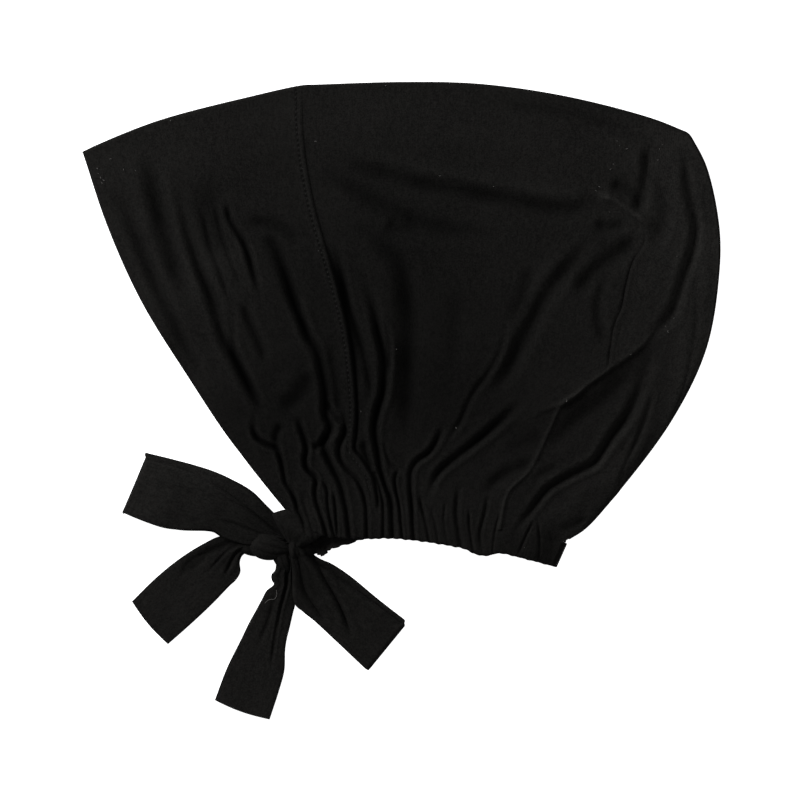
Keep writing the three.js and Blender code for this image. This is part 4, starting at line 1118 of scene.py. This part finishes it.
UPPER_LOOP_SHAPE = loop_shape(
    UPPER_LOOP_LEFT, UPPER_LOOP_RIGHT, UPPER_LOOP_CREASE, LOOP_LEVELS, UPPER_LOOP_CREASES, pleats=0.35)
LOWER_LOOP_SHAPE = loop_shape(
    LOWER_LOOP_LEFT, LOWER_LOOP_RIGHT, LOWER_LOOP_CREASE, LOOP_LEVELS, LOWER_LOOP_CREASES, pleats=0.4)
LEFT_TAIL_SHAPE = tail_shape(
    LEFT_TAIL_LEFT, LEFT_TAIL_RIGHT, TAIL_LEVELS, LEFT_TAIL_CREASES, pleats=0.4)
BOTTOM_TAIL_SHAPE = tail_shape(
    BOTTOM_TAIL_LEFT, BOTTOM_TAIL_RIGHT, TAIL_LEVELS, BOTTOM_TAIL_CREASES, pleats=0.4)
STRIPS = {
    "bow_loop_upper": (70, 240, True, UPPER_LOOP_SHAPE),
    "bow_loop_lower": (70, 240, True, LOWER_LOOP_SHAPE),
    "tie_tail_left": (60, 140, False, LEFT_TAIL_SHAPE),
    "tie_tail_bottom": (60, 150, False, BOTTOM_TAIL_SHAPE),
}
strips = {}
for name, (columns, rows, turned, shape) in STRIPS.items():
    strip = sheet_mesh(name + "_cloth", columns, rows, shape, turned)
    thicken(strip, TIE_WALL)
    strips[name] = finish_piece(strip, jersey, "jersey", name)

# Straps and knot

STRAP_GRID = 60
STRAP_WIDTH = 8
STRAP_LENGTH = 18
STRAP_ROLL = 1.6


def strap_shape(begin, left, right, first, last, pleats):
    """The casing's end drawn into the knot, between its two edges: begin is where it leaves the casing,
    first and last its heights there and in the knot."""
    begin, left, right = Line(begin), Line(left), Line(right)

    def shape(across, out):
        plan = mix(left.at(out), right.at(out), across[:, None])
        plan += begin.bulge(across) * (1 - out)[:, None]
        bumps, wear = relief(plan)
        fade = 1 - eased(out * 1.6)
        height = mix(first, last, eased(out)) + bumps * fade
        height += pleats * np.cos(across * math.pi * 9 + 2 * out) * eased(out * 2)
        height += rolled(across * STRAP_WIDTH, STRAP_ROLL)
        height += rolled((1 - across) * STRAP_WIDTH, STRAP_ROLL) * eased(out * 4)
        cloth = np.column_stack([across * CASING_HEIGHT, out * STRAP_LENGTH])
        # painted shade, deeper towards the knot
        wear = wear * fade - 0.4 * eased((out - 0.35) / 0.3) * eased(across * 2)
        return np.column_stack([plan, np.maximum(height, CASING_WALL + STRIP_GAP)]), cloth, wear

    return shape


STRAPS = {
    "tie_strap_upper": strap_shape(
        [(103.0, 29.0), (106.5, 25.2), (111, 21.4), (120.5, 16.4)],
        [(103.0, 29.0), (99, 28.2), (95.4, 26.4), (96.6, 23.0), (99.0, 18.4), (102, 13.5)],
        [(120.5, 16.4), (116.6, 13.2), (112.0, 10.6), (107.5, 8.0)],
        first=13.0, last=8.6, pleats=0.12),
    "tie_strap_under": strap_shape(
        [(114, 17), (116, 13), (117.5, 9.6)],
        [(114, 17), (109, 15), (104, 12)],
        [(117.5, 9.6), (114, 6.4), (108, 6)],
        first=3.4, last=7.0, pleats=0.35),
}
for name, shape in STRAPS.items():
    strap = sheet_mesh(name + "_cloth", STRAP_GRID, STRAP_GRID, shape, turned=True)
    thicken(strap, CASING_WALL)
    strips[name] = finish_piece(strap, hem_jersey, "hemmed_jersey", name)

# The knot's lobes: middle, half length, half width, half height, turn in degrees, pleats, how far the
# right end is drawn in, and painted shade

Lobe = namedtuple("Lobe", "x y z long wide high turn pleats pinch wear")
LOBES = [
    Lobe(95.0, 10.2, 4.6, 11.4, 8.2, 6.2, -8, 11, 0.55, -0.02),
    Lobe(88.0, 11.0, 3.2, 11.0, 6.2, 3.6, -4, 5, 0.1, -0.25),
    Lobe(111.0, 9.2, 3.4, 6.4, 5.6, 4.2, -15, 5, 0.3, -0.35),
    Lobe(105.8, 9.4, 4.6, 2.6, 6.2, 5.6, 6, 3, 0.1, -0.05),
    Lobe(100.4, 3.4, 3.6, 7.4, 4.6, 4.2, -62, 7, 0.4, -0.1),
]
LOBE_LEAST = 0.3  # no part of the knot lies lower than this
PLEAT_DEPTH = 0.16  # of the knot's pleats, as a share of its lobes' width
# how much shade is painted in the knot's pleats
PLEAT_SHADE = 0.5


def add_lobe(bm, lobe, painted):
    """One turn of the knot: a ball drawn out along its x, its pleats running into its right end, with
    painted shade in its pleats.
    """
    made = bmesh.ops.create_uvsphere(bm, u_segments=96, v_segments=56, radius=1)["verts"]
    turn = math.radians(lobe.turn)
    for vert in made:
        px, py, pz = vert.co.z, vert.co.x, vert.co.y
        angle = math.atan2(py, pz)
        ring = math.hypot(py, pz)
        right = (px + 1) / 2
        swell = 1 - lobe.pinch * right**2
        crease = abs(math.sin(lobe.pleats * angle / 2 + 0.6 * math.sin(3 * px))) ** 0.6
        ring *= swell * (1 - PLEAT_DEPTH * right * ring * (1 - crease))
        py, pz = ring * math.sin(angle), ring * math.cos(angle)
        x, y, z = px * lobe.long, py * lobe.wide, pz * lobe.high
        x, y = x * math.cos(turn) - y * math.sin(turn), x * math.sin(turn) + y * math.cos(turn)
        vert.co = in_metres((lobe.x + x, lobe.y + y, max(LOBE_LEAST, lobe.z + z)))
        vert[painted] = lobe.wear - PLEAT_SHADE * right * (1 - crease)


def knot_piece():
    """The lobes of the knot as one mesh, with the cloth's own map laid over it from above."""
    bm = bmesh.new()
    painted = bm.verts.layers.float.new("wear")
    for lobe in LOBES:
        add_lobe(bm, lobe, painted)
    layer = bm.loops.layers.uv.new("cloth")
    for face in bm.faces:
        for loop in face.loops:
            loop[layer].uv = (loop.vert.co.x + loop.vert.co.z, loop.vert.co.y)
    bmesh.ops.recalc_face_normals(bm, faces=bm.faces)
    return piece_from("tie_knot_cloth", bm)


finish_piece(knot_piece(), hem_jersey, "hemmed_jersey", "tie_knot")

# Topstitching of the front seam: a small rounded bar of thread for each stitch

STITCH_RADIUS = 0.22
STITCH_REACH = 0.27  # how far a stitch reaches to each side of its middle, as a share of the pitch
STITCH_FLATNESS = 0.9


def surface_height(plan):
    """Height of the upper layer at places beside the front seam."""
    aside, down = beside(FRONT_SEAM_LINE.points, plan)
    down = FRONT_SEAM_LINE.share_of_length(down)
    along = np.full(len(plan), FRONT_SEAM_AT)
    height = CLOTH_TOP + 2 * FOLD_RADIUS + loft_at(along, down)
    return height + eased(down / CROWN_EASE) * (relief(plan)[0] + seam_marks(plan)[0])


def stitch_row():
    """All the stitches as one mesh, each a rounded bar of thread between two needle holes."""
    line = FRONT_SEAM_LINE
    count = int(STITCHED_LENGTH / STITCH_PITCH)
    shares = (np.arange(count + 1) + 1) * STITCH_PITCH / line.length
    way = line.way(shares)
    plan = line.at(shares) + np.column_stack([way[:, 1], -way[:, 0]]) * STITCH_INSET
    holes = np.column_stack([plan, surface_height(plan)])
    bm = bmesh.new()
    for start, end in zip(holes, holes[1:]):
        middle = (start + end) / 2
        reach = (end - start) * STITCH_REACH
        bar = bmesh.ops.create_icosphere(bm, subdivisions=1, radius=1)["verts"]
        for vert in bar:
            girth = np.array([vert.co.y, vert.co.y, vert.co.z]) * STITCH_RADIUS * STITCH_FLATNESS
            vert.co = in_metres(middle + reach * vert.co.x + girth)
    return piece_from("front_seam_stitches", bm)


finish_piece(stitch_row(), thread, "jersey")

# Lint: specks of pale fibre on the cloth, and one curl of thread on the bottom tail

LINT_SPOTS = [
    (8.5, 196.5), (9.6, 194.4), (10.4, 191.8), (7.9, 199), (11.2, 193), (14.5, 203.9), (21, 198.4),
    (27, 197.9), (44.5, 222.9), (117, 212.4), (152, 240.4), (179, 194.9), (205.7, 189.7), (267.5, 212.6),
    (268.6, 210.2), (272.3, 208.7), (265.5, 201), (264.2, 198.4), (256.9, 187.6), (258.6, 189.8),
    (288.6, 208.7), (290.1, 211), (287.7, 203), (297.3, 154.9), (292.5, 117.4), (291.6, 120),
    (295.7, 124.1), (273.8, 105.9), (263.6, 177), (242, 82.9), (187, 69.4), (221, 9.9), (139.6, 77.6),
    (118.5, 157.6), (157.3, 108.6),
]
LINT_THREAD = [(91.3, -18.4), (93.4, -16.6), (96.4, -16.1), (97.4, -14.3), (97.2, -11.7)]
LINT_RADIUS = 0.13
LINT_POINTS = 5
SPECK_GAP = 0.2  # how far the middle of a speck lies above the cloth
CURL_GAP = 0.15
FIBRE_SIDES = 6
BARE_HEIGHT = 2.0  # taken where a place has no cloth under it
LOOK_FROM = 100.0  # height from which the cloth is looked for


def cloth_under(trees, x, y):
    """Height of the highest cloth at a place in the plan."""
    found = [tree.ray_cast(in_metres((x, y, LOOK_FROM)), (0, 0, -1))[0] for tree in trees]
    return max([spot[2] / MM for spot in found if spot] or [BARE_HEIGHT])


def add_fibre(bm, points, radius):
    """A thin round fibre through points in the plan's millimetres."""
    points = np.array(points, float)
    ring = np.linspace(0, 2 * math.pi, FIBRE_SIDES, endpoint=False)[:, None]
    way = np.gradient(points, axis=0)
    side = np.column_stack([-way[:, 1], way[:, 0], np.zeros(len(way))])
    side /= np.linalg.norm(side, axis=1)[:, None]
    rows = []
    for index, point in enumerate(points):
        size = radius * (0.5 if index in (0, len(points) - 1) else 1)
        rim = point + size * (np.cos(ring) * side[index] + np.sin(ring) * (0, 0, 1))
        rows.append([bm.verts.new(spot) for spot in in_metres(rim)])
    for low, high in zip(rows, rows[1:]):
        for index in range(FIBRE_SIDES):
            after = (index + 1) % FIBRE_SIDES
            bm.faces.new((low[index], low[after], high[after], high[index]))
    bm.faces.new(rows[0][::-1])
    bm.faces.new(rows[-1])


def lint_piece(holders):
    """All the lint as one mesh, each fibre just above the cloth of the pieces that hold it."""
    bpy.context.view_layer.update()
    graph = bpy.context.evaluated_depsgraph_get()
    trees = [BVHTree.FromObject(holder, graph) for holder in holders]
    rng = np.random.default_rng(19)
    bm = bmesh.new()
    for x, y in LINT_SPOTS:
        turn, bend = rng.uniform(0, 2 * math.pi), rng.uniform(-1, 1)
        reach = rng.uniform(0.2, 0.6)
        steps = np.linspace(-1, 1, LINT_POINTS)
        spots = np.column_stack([
            x + reach * (steps * math.cos(turn) - bend * steps**2 * math.sin(turn)),
            y + reach * (steps * math.sin(turn) + bend * steps**2 * math.cos(turn)),
        ])
        tops = np.full(LINT_POINTS, cloth_under(trees, x, y) + SPECK_GAP)
        add_fibre(bm, np.column_stack([spots, tops]), LINT_RADIUS * rng.uniform(0.6, 1.3))
    curl = smooth_line(LINT_THREAD, 6)
    tops = [cloth_under(trees, x, y) + CURL_GAP for x, y in curl]
    add_fibre(bm, np.column_stack([curl, tops]), LINT_RADIUS)
    bmesh.ops.recalc_face_normals(bm, faces=bm.faces)
    return piece_from("lint_fibres", bm)


lint_holders = [*panels.values(), casing, strips["tie_tail_bottom"]]
finish_piece(lint_piece(lint_holders), lint, "jersey")

# Floor, light and camera, in metres

FLOOR_HALF = 2.0
FLOOR_DROP = 0.0002
FLOOR_WHITE = 0.85
LAMP_SIZE = 0.7
LAMPS = [("left_window", (-1.1, 0.75, 0.85), 33), ("right_window", (1.15, 0.1, 0.6), 2.5)]
ROOM_LIGHT = 0.25
ROOM_SEEN = 0.7  # how much brighter the room looks to the camera
CAMERA_HEIGHT = 2.5
VIEW_WIDTH = 0.4  # of the picture at the height of the cap's outline
OUTLINE_HEIGHT = 0.004
VIEW_MIDDLE = (-0.00025, -0.00025)
SENSOR = 36  # millimetres


def stage_floor():
    """A white table that glows for camera rays alone, so that it looks evenly lit."""
    bm = bmesh.new()
    bmesh.ops.create_grid(bm, x_segments=1, y_segments=1, size=FLOOR_HALF)
    floor = piece_from("floor", bm)
    floor.location.z = -FLOOR_DROP
    material = bpy.data.materials.new("white_table")
    material.use_nodes = True
    tree = material.node_tree
    shader = tree.nodes["Principled BSDF"]
    shader.inputs["Base Color"].default_value = (FLOOR_WHITE, FLOOR_WHITE, FLOOR_WHITE, 1)
    shader.inputs["Roughness"].default_value = 0.9
    shader.inputs["Specular IOR Level"].default_value = 0.0
    glow = add_node(tree, "ShaderNodeEmission", Strength=1.0)
    ray = tree.nodes.new("ShaderNodeLightPath")
    both = tree.nodes.new("ShaderNodeAddShader")
    seen = add_node(tree, "ShaderNodeMixShader", i0=ray.outputs["Is Camera Ray"])
    tree.links.new(shader.outputs[0], both.inputs[0])
    tree.links.new(glow.outputs[0], both.inputs[1])
    tree.links.new(shader.outputs[0], seen.inputs[1])
    tree.links.new(both.outputs[0], seen.inputs[2])
    tree.links.new(seen.outputs[0], tree.nodes["Material Output"].inputs["Surface"])
    floor.data.materials.append(material)


def stage_light():
    """Two soft windows, each aimed at the cap, in a softly lit room."""
    world = bpy.data.worlds.new("soft_room")
    world.use_nodes = True
    bpy.context.scene.world = world
    tree = world.node_tree
    sky = tree.nodes["Background"]
    sky.inputs["Color"].default_value = (1, 1, 1, 1)
    ray = tree.nodes.new("ShaderNodeLightPath")
    strength = maths(tree, "MULTIPLY_ADD", ray.outputs["Is Camera Ray"], ROOM_SEEN, ROOM_LIGHT)
    tree.links.new(strength, sky.inputs["Strength"])
    for name, place, energy in LAMPS:
        lamp = bpy.data.lights.new(name, "AREA")
        lamp.shape = "RECTANGLE"
        lamp.size = LAMP_SIZE
        lamp.size_y = LAMP_SIZE
        lamp.energy = energy
        holder = bpy.data.objects.new(name, lamp)
        bpy.context.collection.objects.link(holder)
        holder.location = place
        aim = -np.array(place)
        tilt = math.acos(-aim[2] / np.linalg.norm(aim))
        holder.rotation_euler = (tilt, 0, math.atan2(aim[1], aim[0]) - math.pi / 2)


def stage_camera():
    """A long lens straight above the cap."""
    camera = bpy.data.cameras.new("above")
    camera.sensor_width = SENSOR
    camera.lens = SENSOR * CAMERA_HEIGHT / VIEW_WIDTH
    camera.clip_end = 20
    holder = bpy.data.objects.new("above", camera)
    bpy.context.collection.objects.link(holder)
    holder.location = (*VIEW_MIDDLE, CAMERA_HEIGHT + OUTLINE_HEIGHT)
    bpy.context.scene.camera = holder


stage_floor()
stage_light()
stage_camera()
bpy.context.scene.view_settings.view_transform = "Standard"
